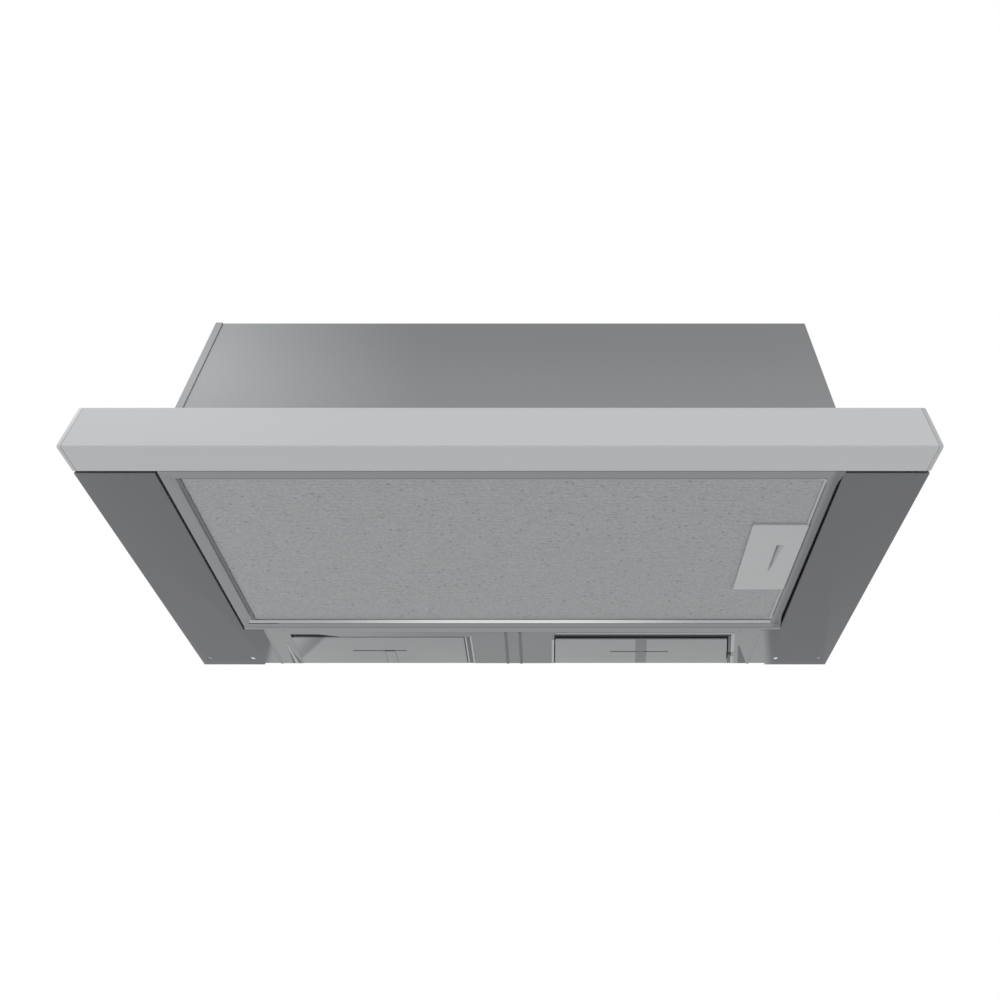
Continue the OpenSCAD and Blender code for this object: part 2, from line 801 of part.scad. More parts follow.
// One half of the casing, split at the wheel's middle, drawn for the right side
module scroll_half() {
    flange_t = 1.5;
    flange_x = spigot_in_r + 4;
    translate([0, wheel_y, wheel_z]) {
        difference() {
            along_x(0, scroll_x) polygon(scroll_outline(scroll_wall));
            along_x(-1, scroll_in_x) polygon(scroll_outline(0));
            rod_x(inlet_r, scroll_in_x - 1, scroll_x + 1);
            block([-1, tongue_y, top_in_z - wheel_z - 1],
                  [scroll_in_x, spiral_end_r, top_in_z - wheel_z + 1]);
        }
        translate([scroll_x, 0, 0]) rotate([0, 90, 0]) bell_mouth();
    }
    difference() {
        block([0, spigot_y - flange_x, top_in_z - flange_t], [flange_x, spigot_y + flange_x, top_in_z]);
        block([-1, throat_y[0] - scroll_wall / 2, top_in_z - flange_t - 1],
              [scroll_x - scroll_wall / 2, throat_y[1] + scroll_wall / 2, top_in_z + 1]);
    }
}

// Rounded lip of the inlet, flaring outward from the side wall
module bell_mouth() {
    rotate_extrude() translate([inlet_r + bell_r + scroll_wall, 0]) intersection() {
        difference() {
            circle(r = bell_r + scroll_wall);
            circle(r = bell_r);
        }
        rect([-bell_r - scroll_wall, 0], [0, bell_r + scroll_wall]);
    }
}

module scroll_left() {
    color("#3a3b3d") on_side(-1) scroll_half();
}

module scroll_right() {
    color("#3a3b3d") scroll_half();
}

// Motor, partly inside the wheel's left inlet
module motor_case() {
    color("#a9abac") translate([0, wheel_y, wheel_z]) difference() {
        union() {
            rod_x(motor_r, motor_end_x + shield_l, motor_nose_x - shield_l);
            rod_x(motor_r - shield_step, motor_end_x, motor_nose_x);
            rod_x(nose_r, motor_nose_x - 1, motor_nose_x + nose_l);
        }
        rod_x(shaft_r + pin_clear, motor_end_x + shaft_end_in - bore_gap, motor_nose_x + nose_l + 1);
    }
}

// Spider with three arms that carries the motor
module motor_bracket() {
    arm_w = 12;
    color("#b5b8ba") translate([0, wheel_y, wheel_z]) {
        difference() {
            union() {
                rod_x(motor_r + 3, bracket_x - bracket_t, bracket_x);
                for (a = [90, 210, 330]) rotate([a, 0, 0]) {
                    block([bracket_x - bracket_t, 0, -arm_w / 2], [bracket_x, post_ring_r, arm_w / 2]);
                    translate([0, post_ring_r, 0]) rod_x(arm_w / 2, bracket_x - bracket_t, bracket_x);
                }
            }
            rod_x(motor_r, bracket_x - bracket_t - 1, bracket_x + 1);
        }
    }
}

module motor_grommets() {
    color("#26272a") translate([0, wheel_y, wheel_z])
        for (a = [90, 210, 330]) rotate([a, 0, 0])
            translate([0, post_ring_r, 0]) rod_x(post_r, bracket_x, -scroll_x);
}

module motor_shaft() {
    color("#d0d2d3") translate([0, wheel_y, wheel_z]) rod_x(shaft_r, motor_end_x + shaft_end_in, hub_l + shaft_out);
}

// Blower wheel

module impeller_disc() {
    color("#c2c5c7") translate([0, wheel_y, wheel_z]) difference() {
        union() {
            rod_x(wheel_r, -wheel_disc_t / 2, wheel_disc_t / 2);
            rod_x(hub_r, 0, hub_l);
        }
        rod_x(shaft_r, -wheel_disc_t, hub_l + 1);
    }
}

// Curved outline of one blade
function blade_edge(side) =
    let (steps = 4)
    [for (i = [0:steps])
        let (t = i / steps,
             r = wheel_bore_r + blade_d * t,
             half_a = side * blade_t / 2 / r * 180 / PI)
        polar(r, blade_sweep * t * t + half_a)];

function blade_outline() =
    let (a = blade_edge(-1), b = blade_edge(1))
    concat(a, [for (i = [len(b) - 1:-1:0]) b[i]]);

module impeller_blades() {
    color("#cfd2d4") translate([0, wheel_y, wheel_z])
        for (side = [-1, 1], i = [0:blade_count - 1]) on_side(side)
            rotate([i * 360 / blade_count, 0, 0])
                along_x(wheel_disc_t / 2, ring_x) polygon(blade_outline());
}

module impeller_rings() {
    color("#c2c5c7") translate([0, wheel_y, wheel_z]) for (side = [-1, 1]) on_side(side) difference() {
        rod_x(wheel_r, ring_x, wheel_x);
        rod_x(wheel_bore_r - 0.5, ring_x - 1, wheel_x + 1);
    }
}

// Electrics inside the box

module capacitor() {
    neck_h = 3;
    color("#e6e6e2") translate([cap_x, cap_y, 0]) {
        translate([0, 0, top_in_z - neck_h - cap_l]) cylinder(r = cap_r, h = cap_l);
        translate([0, 0, top_in_z - neck_h]) cylinder(r = 5, h = neck_h);
    }
}

module terminal_box() {
    wall = 2;
    x0 = gland_x - terminal_w / 2;
    y0 = gland_y - terminal_d / 2;
    z0 = top_in_z - terminal_h;
    color("#2f3133") difference() {
        block([x0, y0, z0], [x0 + terminal_w, y0 + terminal_d, top_in_z]);
        block([x0 + wall, y0 + wall, z0 + wall],
              [x0 + terminal_w - wall, y0 + terminal_d - wall, top_in_z + 1]);
    }
}

module cable_gland() {
    collar_r = 11;
    collar_h = 5;
    below = 6;
    color("#232427") translate([gland_x, gland_y, 0]) difference() {
        union() {
            translate([0, 0, top_in_z - below]) cylinder(r = gland_r, h = below + sheet_t);
            translate([0, 0, body_top_z]) cylinder(r = collar_r, h = collar_h);
            translate([0, 0, body_top_z + collar_h]) cylinder(r1 = collar_r - 2, r2 = gland_bore_r + 2, h = 5);
        }
        translate([0, 0, top_in_z - below - 1]) cylinder(r = gland_bore_r, h = below + collar_h + 10);
    }
}

// Outlet

module outlet_spigot() {
    ledge_z = flap_axis_z - flap_t / 2 - flap_rest_gap - ledge_t;
    color("#2b2c2f") translate([0, spigot_y, 0]) difference() {
        union() {
            translate([0, 0, body_top_z]) cylinder(r = spigot_flange_r, h = spigot_flange_t);
            translate([0, 0, body_top_z]) cylinder(r = spigot_r, h = spigot_h);
        }
        difference() {
            translate([0, 0, body_top_z - 1]) cylinder(r = spigot_in_r, h = spigot_h + 2);
            translate([0, 0, ledge_z]) cylinder(r = spigot_in_r + 1, h = ledge_t);
        }
        translate([0, 0, ledge_z - 1]) cylinder(r = spigot_in_r - ledge_w, h = ledge_t + 2);
        translate([0, 0, flap_axis_z]) rod_x(damper_pin_r, -spigot_r + 0.5, spigot_r - 0.5);
    }
}

module damper_pin() {
    color("#c9cbcc") translate([0, spigot_y, flap_axis_z])
        rod_x(damper_pin_r, -spigot_r + 0.5, spigot_r - 0.5);
}

// Half-round flap on the side away from +Y, with its knuckles at the given places
module damper_flap(knuckles) {
    leaf_y = knuckle_r + knuckle_gap;
    difference() {
        union() {
            intersection() {
                translate([0, 0, -flap_t / 2]) cylinder(r = flap_r, h = flap_t);
                block([-flap_r, -flap_r - 1, -flap_t], [flap_r, -leaf_y, flap_t]);
            }
            for (k = knuckles) {
                rod_x(knuckle_r, k[0], k[1]);
                block([k[0], -leaf_y - 1, -flap_t / 2], [k[1], 0, flap_t / 2]);
            }
        }
        rod_x(damper_pin_r + pin_clear, -flap_r - 1, flap_r + 1);
    }
}

knuckle_l = 18;
knuckle_step = knuckle_l + knuckle_gap;

// Knuckles of the two flaps take turns along the pin
function knuckle_places(first) =
    [for (i = [first:2:3]) [(i - 2) * knuckle_step, (i - 2) * knuckle_step + knuckle_l]];

module damper_flap_front() {
    color("#303236") translate([0, spigot_y, flap_axis_z]) damper_flap(knuckle_places(0));
}

module damper_flap_rear() {
    color("#303236") translate([0, spigot_y, flap_axis_z]) mirror([0, 1, 0]) damper_flap(knuckle_places(1));
}

// Switches in the right wing's front wall

module switch_slot(z, travel) {
    block([slot_left_x, switch_face_y - 1, z - knob_h / 2 - slider_clear],
          [slot_left_x + knob_w + travel + 2 * slider_clear, switch_face_y + slot_d, z + knob_h / 2 + slider_clear]);
}

module switch_block() {
    color("#2b2c2f") difference() {
        block([switch_left_x, switch_face_y, switch_z - switch_h / 2],
              [switch_right_x, switch_face_y + switch_d, switch_z + switch_h / 2]);
        switch_slot(light_z, light_travel);
        switch_slot(speed_z, speed_travel);
    }
}

// Knob with a finger ridge
module switch_knob(z) {
    ridge = 1;
    y0 = switch_face_y + 1;
    block([knob_x, y0, z - knob_h / 2], [knob_x + knob_w, switch_face_y + slot_d - slider_clear, z + knob_h / 2]);
    for (i = [0:2])
        block([knob_x + 1 + 3 * i, y0 - ridge, z - knob_h / 2 + 0.5], [knob_x + 2 + 3 * i, y0, z + knob_h / 2 - 0.5]);
}

module light_slider() {
    color("#d9dadb") switch_knob(light_z);
}

module speed_slider() {
    color("#d9dadb") switch_knob(speed_z);
}

// Drawer

module fascia() {
    x1 = wing_x - end_cap_t;
    color("#bdbfc0") along_x(-x1, x1) difference() {
        rounded_rect([y_front, 0], [fascia_rear_y, fascia_h], fascia_edge_r);
        rect([y_front + fascia_wall, fascia_wall], [fascia_rear_y - fascia_wall, fascia_h - fascia_wall]);
    }
}

module end_cap() {
    x1 = wing_x - end_cap_t;
    plug_wall = 2;
    lo = [y_front + fascia_wall, fascia_wall];
    hi = [fascia_rear_y - fascia_wall, fascia_h - fascia_wall];
    along_x(x1, wing_x) rounded_rect([y_front, 0], [fascia_rear_y, fascia_h], fascia_edge_r);
    along_x(x1 - cap_plug_d, x1) difference() {
        rect(lo, hi);
        rect(lo + [plug_wall, plug_wall], hi - [plug_wall, plug_wall]);
    }
}

module end_cap_left() {
    color("#b6b8b9") on_side(-1) end_cap();
}

module end_cap_right() {
    color("#b6b8b9") end_cap();
}

// Pressed frame: a lip all round, upstanding walls and a rolled right edge
module drawer_frame() {
    y0 = fascia_rear_y;
    y1 = drawer_rear_y;
    x1 = drawer_x;
    wall = sheet_t;
    step_y = y0 + front_lip_w / 2;
    bolt_gap = 0.6;
    color("#8e9091") difference() {
        union() {
            block([-x1, y0, 0], [-opening_x, y1, sheet_t]);
            block([-x1, y0, 0], [x1, step_y, sheet_t]);
            block([-x1, step_y - sheet_t, 0], [opening_x, opening_front_y, sheet_t + lip_step]);
            block([-x1, opening_rear_y, 0], [x1, y1, sheet_t]);
            plate_ring([-opening_x - wall, opening_front_y - wall], [opening_x + wall, opening_rear_y + wall],
                       [-opening_x, opening_front_y], [opening_x, opening_rear_y], 0, drawer_wall_h);
            rolled_edge(step_y - sheet_t, opening_rear_y + wall);
        }
        block([-opening_x - wall, step_y, -1], [opening_x, opening_front_y, lip_step]);
        for (y = [opening_front_y, opening_rear_y])
            translate([filter_pin_x, 0, filter_pin_z]) rod_y(filter_pin_r + pin_clear, y - 3 * wall, y + 3 * wall);
        block([opening_x - 1, latch_y - bolt_w / 2 - bolt_gap, bolt_z - bolt_gap],
              [opening_x + wall + 1, latch_y + bolt_w / 2 + bolt_gap, bolt_z + bolt_h + bolt_gap]);
    }
}

// Half-round lip on the drawer's right side
module rolled_edge(y0, y1) {
    translate([opening_x + roll_r, 0, roll_r]) intersection() {
        difference() {
            rod_y(roll_r, y0, y1);
            rod_y(roll_r - sheet_t, y0 - 1, y1 + 1);
        }
        block([-roll_r, y0, -roll_r], [roll_r, y1, 0]);
    }
}

// Rail that runs in the wing's guide, longer than the frame that it carries
module drawer_rail() {
    difference() {
        block([rail_x, fascia_rear_y, rail_low_z], [rail_out_x, rail_rear_y, rail_top_z]);
        block([rail_x + sheet_t, fascia_rear_y - 1, rail_low_z + sheet_t],
              [rail_out_x + 1, rail_rear_y + 1, rail_top_z - sheet_t]);
    }
}

module drawer_rail_left() {
    color("#c4c7c9") on_side(-1) drawer_rail();
}

module drawer_rail_right() {
    color("#c4c7c9") drawer_rail();
}

// Nylon pads above and below each rail's rear end
module rail_glides() {
    pad_t = rail_play - glide_gap;
    color("#eeeeea") for (side = [-1, 1]) on_side(side) {
        block([rail_x + 3, rail_rear_y - glide_l, rail_top_z], [rail_out_x - 1, rail_rear_y, rail_top_z + pad_t]);
        block([rail_x + 3, rail_rear_y - glide_l, rail_low_z - pad_t], [rail_out_x - 1, rail_rear_y, rail_low_z]);
    }
}

// Cassette

module filter_frame() {
    lo = [-filter_x, filter_front_y];
    hi = [filter_x, filter_rear_y];
    t = filter_sheet_t;
    rim = filter_rim_w;
    pin_l = filter_gap_y + sheet_t + 0.8;
    color("#c6c9ca") {
        difference() {
            union() {
                plate_ring(lo, hi, lo + [t, t], hi - [t, t], filter_z, filter_top_z);
                plate_ring(lo, hi, lo + [rim, rim], hi - [rim, rim], filter_z, filter_z + t);
                plate_ring(lo, hi, lo + [rim, rim], hi - [rim, rim], filter_top_z - t, filter_top_z);
            }
            block([filter_in_x - 1, latch_y - bolt_w / 2 - slider_clear, bolt_z - slider_clear],
                  [filter_x + 1, latch_y + bolt_w / 2 + slider_clear, bolt_z + bolt_h + slider_clear]);
            block([filter_in_x - rim - 1, bay_front_y, filter_z - 1], [filter_in_x, bay_rear_y, filter_z + t]);
        }
        translate([filter_pin_x, 0, filter_pin_z]) {
            rod_y(filter_pin_r, filter_front_y - pin_l, filter_in_front_y);
            rod_y(filter_pin_r, filter_in_rear_y, filter_rear_y + pin_l);
        }
    }
}

// Layer inside the cassette, with the latch's bay cut out
module filter_layer(z0, z1) {
    difference() {
        block([-filter_in_x, filter_in_front_y, z0], [filter_in_x, filter_in_rear_y, z1]);
        block([bay_left_x, bay_front_y, z0 - 1], [filter_in_x + 1, bay_rear_y, z1 + 1]);
    }
}

module filter_mesh_lower() {
    color("#979a9b") filter_layer(mesh_z, mesh_z + mesh_t);
}

module filter_wadding() {
    color("#b4b6b7") filter_layer(mesh_z + mesh_t, mesh_top_z - mesh_t);
}

module filter_mesh_upper() {
    color("#979a9b") filter_layer(mesh_top_z - mesh_t, mesh_top_z);
}

// Plate with a walled bay for the slider
module latch_housing() {
    c = latch_chamfer;
    color("#adb0b1") {
        difference() {
            translate([0, 0, latch_plate_z]) linear_extrude(filter_z - latch_plate_z)
                polygon([[latch_left_x, latch_front_y + c], [latch_left_x + c, latch_front_y],
                         [filter_x, latch_front_y], [filter_x, latch_rear_y], [latch_left_x, latch_rear_y]]);
            block([slider_left_x - slider_clear, slider_front_y - slider_clear, -1],
                  [filter_in_x, slider_rear_y + slider_clear, filter_z + 1]);
        }
        difference() {
            block([bay_left_x, bay_front_y, filter_z], [filter_in_x, bay_rear_y, mesh_top_z]);
            block([bay_left_x + bay_wall, bay_front_y + bay_wall, filter_z - 1],
                  [filter_in_x + 1, bay_rear_y - bay_wall, slider_top_z + slider_clear]);
        }
    }
}

// Slider with a finger scoop: a steep left wall and a ramp that rises to the right
module latch_slider() {
    scoop_in = 2;
    right_x = slider_left_x + slider_w;
    color("#a3a6a7") {
        difference() {
            block([slider_left_x, slider_front_y, slider_z], [right_x, slider_rear_y, slider_top_z]);
            along_y(slider_front_y + scoop_in, slider_rear_y - scoop_in)
                polygon([[slider_left_x + scoop_in, slider_z - 1], [slider_left_x + scoop_in, slider_z + scoop_d],
                         [slider_left_x + scoop_in + 2, slider_z + scoop_d], [right_x - 1, slider_z],
                         [right_x - 1, slider_z - 1]]);
        }
        block([right_x - 1, latch_y - bolt_w / 2, bolt_z], [filter_x - 0.2, latch_y + bolt_w / 2, bolt_z + bolt_h]);
    }
}

front_panel();
side_panel_left();
side_panel_right();
rear_panel();
top_plate();
inlet_plate();
wing_left();
wing_right();
wing_cover_left();
wing_cover_right();
cover_screws();
rear_rail();
lamp_panel();
lamp_tray_left();
lamp_tray_right();
lamp_holder_left();
lamp_holder_right();
lamp_bulb_left();
lamp_bulb_right();
guide_left();
guide_right();
inner_filter_frame();
inner_filter_mesh();
inner_filter_clips();
scroll_left();
scroll_right();
motor_case();
motor_bracket();
motor_grommets();
capacitor();
terminal_box();
cable_gland();
outlet_spigot();
damper_pin();
switch_block();
fascia();
end_cap_left();
end_cap_right();
drawer_frame();
drawer_rail_left();
drawer_rail_right();
rail_glides();
filter_frame();
filter_mesh_lower();
filter_wadding();
filter_mesh_upper();
latch_housing();
latch_slider();
motor_shaft();
impeller_disc();
impeller_blades();
impeller_rings();
damper_flap_front();
damper_flap_rear();
lamp_cover_left();
lamp_cover_right();
light_slider();
speed_slider();
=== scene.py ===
"""Slim pull-out cooker hood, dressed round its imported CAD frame.

+X runs along the fascia, +Y from the fascia to the wall, +Z up. Sizes are in millimetres until a mesh is made.
"""

import json
import logging
import math
from dataclasses import dataclass
from enum import Enum
from functools import cache

import bmesh
import bpy
import numpy as np
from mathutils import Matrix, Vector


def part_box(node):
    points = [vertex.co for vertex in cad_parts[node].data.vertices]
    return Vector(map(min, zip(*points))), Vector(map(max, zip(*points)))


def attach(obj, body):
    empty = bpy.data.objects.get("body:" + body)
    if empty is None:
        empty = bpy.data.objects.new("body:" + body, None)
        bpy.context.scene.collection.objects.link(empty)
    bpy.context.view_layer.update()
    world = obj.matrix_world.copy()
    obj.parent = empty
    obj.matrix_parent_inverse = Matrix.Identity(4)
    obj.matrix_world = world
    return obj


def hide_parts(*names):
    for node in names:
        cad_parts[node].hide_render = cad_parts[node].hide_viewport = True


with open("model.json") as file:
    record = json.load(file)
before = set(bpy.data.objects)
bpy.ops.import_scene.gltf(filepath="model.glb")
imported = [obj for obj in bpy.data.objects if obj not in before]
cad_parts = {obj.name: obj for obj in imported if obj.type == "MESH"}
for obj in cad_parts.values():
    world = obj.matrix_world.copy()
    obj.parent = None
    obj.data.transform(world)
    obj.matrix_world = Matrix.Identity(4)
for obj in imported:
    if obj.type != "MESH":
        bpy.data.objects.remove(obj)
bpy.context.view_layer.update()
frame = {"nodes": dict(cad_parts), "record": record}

Pair = tuple[float, float]
Point = tuple[float, float, float]
Slab = tuple[Point, Point, float, float]
Piece = bpy.types.Object
Socket = bpy.types.NodeSocket

MM = 0.001
LOG = logging.getLogger("hood")
SLOT_OF_NODE: dict[str, str] = {row["node"]: row["material_slot"] for row in frame["record"]["subparts"]}
SHARP_DEG = 32.0
# Axis that the cassette swings about: x and z.
PIVOT: Pair = (-223.0, 6.1)


class Axis(Enum):
    """Direction in which an outline is carried."""

    X = 0
    Y = 1
    Z = 2


class Side(Enum):
    """Left or right, with the sign of x there."""

    LEFT = -1.0
    RIGHT = 1.0

    @property
    def word(self) -> str:
        """The side's name, as pieces and nodes have it."""
        return self.name.lower()

    def block(self, low: Point, high: Point) -> tuple[Point, Point]:
        """Corners of a block that is given for the right side: both x times the sign, in order."""
        ends = sorted((self.value * low[0], self.value * high[0]))
        return (ends[0], *low[1:]), (ends[1], *high[1:])


def span(node: str) -> tuple[np.ndarray, np.ndarray]:
    """Lowest and highest corner of a CAD node in millimetres."""
    low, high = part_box(node)
    return np.array(low) / MM, np.array(high) / MM


# Outlines and profiles


def circle(radius: float, count: int = 48) -> np.ndarray:
    """Points of a circle: radius times the cosine and sine of evenly spaced angles."""
    angle = np.arange(count) * 2 * np.pi / count
    return radius * np.stack([np.cos(angle), np.sin(angle)], axis=-1)


def bolt_circle(radius: float) -> np.ndarray:
    """Four points of a circle: radius times the cosine and sine of 45, 135, 225 and 315 degrees."""
    angle = np.radians([45, 135, 225, 315])
    return radius * np.stack([np.cos(angle), np.sin(angle)], axis=-1)


def eased(share: np.ndarray | float) -> np.ndarray:
    """Runs softly from 0 to 1: s^2 (3 - 2s), where s is the share between 0 and 1."""
    share = np.clip(share, 0, 1)
    return share * share * (3 - 2 * share)


def tangent(path: np.ndarray) -> np.ndarray:
    """Unit tangents of a path: its central differences over their lengths."""
    along = np.gradient(path, axis=0)
    return along / np.linalg.norm(along, axis=1, keepdims=True)


def rounded_outline(low: Pair, high: Pair, radius: float | tuple[float, ...], steps: int = 6) -> np.ndarray:
    """Rectangle with round corners: a quarter circle about each corner's centre.

    Args:
        low: lower corner of the rectangle.
        high: upper corner of the rectangle.
        radius: radius of the corners, or one for each: high-high, low-high, low-low, high-low.
        steps: points in each corner.

    Returns:
        Points of the outline, anticlockwise.
    """
    radii = np.broadcast_to(radius, 4)
    corners = ((high[0], high[1]), (low[0], high[1]), (low[0], low[1]), (high[0], low[1]))
    inward = ((-1, -1), (1, -1), (1, 1), (-1, 1))
    parts = []
    for turn, (corner, way, r) in enumerate(zip(corners, inward, radii)):
        angle = np.linspace(0, np.pi / 2, steps) + turn * np.pi / 2
        parts.append(np.array(corner) + np.array(way) * r + r * np.stack([np.cos(angle), np.sin(angle)], axis=-1))
    return np.concatenate(parts)


def inset(outline: np.ndarray, distance: float) -> np.ndarray:
    """Moves each point inward along the mitre of its two edges, so that every edge moves by the distance."""
    ahead = np.roll(outline, -1, axis=0) - outline
    ahead /= np.linalg.norm(ahead, axis=1, keepdims=True)
    behind = np.roll(ahead, 1, axis=0)
    turned = np.sum(outline[:, 0] * np.roll(outline[:, 1], -1) - np.roll(outline[:, 0], -1) * outline[:, 1])
    side = 1.0 if turned > 0 else -1.0
    normal = side * np.stack([-(ahead + behind)[:, 1], (ahead + behind)[:, 0]], axis=-1)
    return outline + distance * 2 * normal / np.sum(normal * normal, axis=1, keepdims=True)


def strip_outline(path: np.ndarray, thickness: float) -> np.ndarray:
    """Outline of a bent sheet: the path, and back along the path moved sideways by the thickness."""
    along = tangent(path)
    other = path + thickness * np.stack([-along[:, 1], along[:, 0]], axis=-1)
    return np.concatenate([path, other[::-1]])


def smooth_path(points: list[tuple[float, ...]], bend: float, steps: int = 5) -> np.ndarray:
    """Rounds a polyline's corners: each corner becomes the curve (1-t)^2 a + 2t(1-t) corner + t^2 b.

    Args:
        points: corners of the polyline.
        bend: distance from a corner at which its curve starts and ends.
        steps: points in each curve.

    Returns:
        Points of the rounded path.
    """
    corners = np.array(points, float)
    path = [corners[:1]]
    t = np.linspace(0, 1, steps)[:, None]
    for before, corner, after in zip(corners[:-2], corners[1:-1], corners[2:]):
        a = corner + bend * (before - corner) / np.linalg.norm(before - corner)
        b = corner + bend * (after - corner) / np.linalg.norm(after - corner)
        path.append((1 - t) ** 2 * a + 2 * t * (1 - t) * corner + t**2 * b)
    path.append(corners[-1:])
    return np.concatenate(path)


class Shell:
    """A closed mesh under construction, made of stacked rings of points."""

    def __init__(self) -> None:
        """Starts with nothing."""
        self.points: list[np.ndarray] = []
        self.corners: list[np.ndarray] = []
        self.sizes: list[np.ndarray] = []
        self.count = 0

    def rings(self, rings: np.ndarray, loop: bool = False) -> "Shell":
        """Joins each ring to the next with quads: (i, j), (i+1, j), (i+1, j+1), (i, j+1).

        Args:
            rings: points of shape (rings, points, 3), or (forms, rings, points, 3) for many like forms.
            loop: joins the last ring to the first; otherwise both ends are capped.

        Returns:
            The shell itself, as every method here that adds to it does.
        """
        rings = rings[None] if rings.ndim == 3 else rings
        forms, stack, around, _ = rings.shape
        index = np.arange(forms * stack * around).reshape(forms, stack, around)
        upper = np.roll(index, -1, axis=1)
        low, up = (index, upper) if loop else (index[:, :-1], upper[:, :-1])
        quads = np.stack([low, up, np.roll(up, -1, axis=2), np.roll(low, -1, axis=2)], axis=-1)
        flat = rings.reshape(-1, 3)
        volume = self._volume(flat, quads[0].reshape(-1, 4))
        caps = None
        if not loop:
            caps = np.stack([index[:, 0], index[:, -1, ::-1]], axis=1)
            volume += self._volume(flat, caps[0, 0][None]) + self._volume(flat, caps[0, 1][None])
        turn = -1 if volume < 0 else 1
        self.corners.append(quads.reshape(-1, 4)[:, ::turn].ravel() + self.count)
        self.sizes.append(np.full(quads.size // 4, 4))
        if caps is not None:
            self.corners.append(caps.reshape(-1, around)[:, ::turn].ravel() + self.count)
            self.sizes.append(np.full(forms * 2, around))
        self.points.append(flat)
        self.count += len(flat)
        return self

    @staticmethod
    def _volume(points: np.ndarray, faces: np.ndarray) -> float:
        """Signed volume under faces: a sixth of the sum of a . (b x c) over each face's fan of triangles."""
        a = points[faces[:, :1]]
        b, c = points[faces[:, 1:-1]], points[faces[:, 2:]]
        return float(np.sum(a * np.cross(b, c)) / 6)

    def stack(self, outlines: list[tuple[np.ndarray, float]], axis: Axis, loop: bool = False) -> "Shell":
        """Stands flat outlines across an axis, each at its place, and joins them in order."""
        return self.rings(np.stack([np.insert(flat, axis.value, place, axis=-1) for flat, place in outlines]), loop)

    def prism(self, outline: np.ndarray, start: float, end: float, axis: Axis, edge: float = 0.0) -> "Shell":
        """Carries an outline along an axis. A round edge insets it by e(1-sin a) at a depth of e(1-cos a).

        Args:
            outline: flat points, in the order of the two other axes.
            start: first place along the axis.
            end: last place along the axis.
            axis: direction of the walk.
            edge: radius of the round edges at both ends.

        Returns:
            The shell itself.
        """
        if edge <= 0:
            return self.stack([(outline, start), (outline, end)], axis)
        way = math.copysign(edge, end - start)
        rim = [(inset(outline, edge * (1 - math.sin(a))), way * (1 - math.cos(a)))
               for a in np.linspace(0, np.pi / 2, 4)]
        near = [(flat, start + depth) for flat, depth in rim]
        return self.stack(near + [(flat, end - depth) for flat, depth in rim[::-1]], axis)

    def slab(self, low: Point, high: Point, corner: float, edge: float, axis: Axis = Axis.Z) -> "Shell":
        """Adds a block with round corners across an axis and round edges at its ends.

        Args:
            low: lowest corner.
            high: highest corner.
            corner: radius of the corners seen along the axis, more than the edge.
            edge: radius of the edges at both ends.
            axis: direction that the corners run in.

        Returns:
            The shell itself.
        """
        u, v = (i for i in range(3) if i != axis.value)
        outline = rounded_outline((low[u], low[v]), (high[u], high[v]), corner, 4)
        return self.prism(outline, low[axis.value], high[axis.value], axis, edge)

    def slabs(self, rows: tuple[Slab, ...]) -> "Shell":
        """Adds an upright slab for each row of lowest corner, highest corner, corner radius and edge radius."""
        for row in rows:
            self.slab(*row)
        return self

    def lathe(self, profile: list[Pair], centre: Point, axis: Axis, loop: bool = False, count: int = 48,
              way: float = 1.0) -> "Shell":
        """Turns a profile about an axis: each (radius, place) becomes a circle of that radius at that place.

        Args:
            profile: radius and place along the axis of each ring.
            centre: a point on the axis of turning.
            axis: direction of the axis.
            loop: the profile is a closed wall round an open middle.
            count: points in each ring.
            way: -1 where the places run against the axis.

        Returns:
            The shell itself.
        """
        line = np.array(profile, float)
        rings = np.insert(line[:, :1, None] * circle(1.0, count), axis.value, line[:, 1:] * way, axis=-1)
        return self.rings(rings + np.array(centre, float), loop)

    def build(self, name: str, sharp_deg: float = SHARP_DEG) -> Piece:
        """Makes the mesh object at the origin, smooth but for edges sharper than the angle.

        Args:
            name: name of the piece.
            sharp_deg: angle in degrees past which an edge is sharp.

        Returns:
            The new object, linked to the scene.
        """
        corners, sizes = np.concatenate(self.corners), np.concatenate(self.sizes)
        mesh = bpy.data.meshes.new(name)
        mesh.vertices.add(self.count)
        mesh.vertices.foreach_set("co", (np.concatenate(self.points) * MM).astype(np.float32).ravel())
        mesh.loops.add(len(corners))
        mesh.loops.foreach_set("vertex_index", corners.astype(np.int32))
        mesh.polygons.add(len(sizes))
        mesh.polygons.foreach_set("loop_start", (np.cumsum(sizes) - sizes).astype(np.int32))
        mesh.update(calc_edges=True)
        mesh.validate()
        mesh.shade_smooth()
        mesh.set_sharp_from_angle(angle=math.radians(sharp_deg))
        piece = bpy.data.objects.new(name, mesh)
        bpy.context.scene.collection.objects.link(piece)
        return piece


def carve(piece: Piece, cutter: Shell) -> Piece:
    """Cuts a shell's forms out of a piece and keeps the result as its mesh.

    Args:
        piece: the piece to cut.
        cutter: closed forms that are taken away.

    Returns:
        The same piece.
    """
    tool = cutter.build("cutter")
    cut = piece.modifiers.new("cut", "BOOLEAN")
    cut.operation, cut.solver, cut.object = "DIFFERENCE", "EXACT", tool
    mesh = bpy.data.meshes.new_from_object(piece.evaluated_get(bpy.context.evaluated_depsgraph_get()))
    piece.modifiers.clear()
    old, piece.data = piece.data, mesh
    bpy.data.meshes.remove(old)
    bpy.data.objects.remove(tool)
    mesh.shade_smooth()
    mesh.set_sharp_from_angle(angle=math.radians(SHARP_DEG))
    return piece


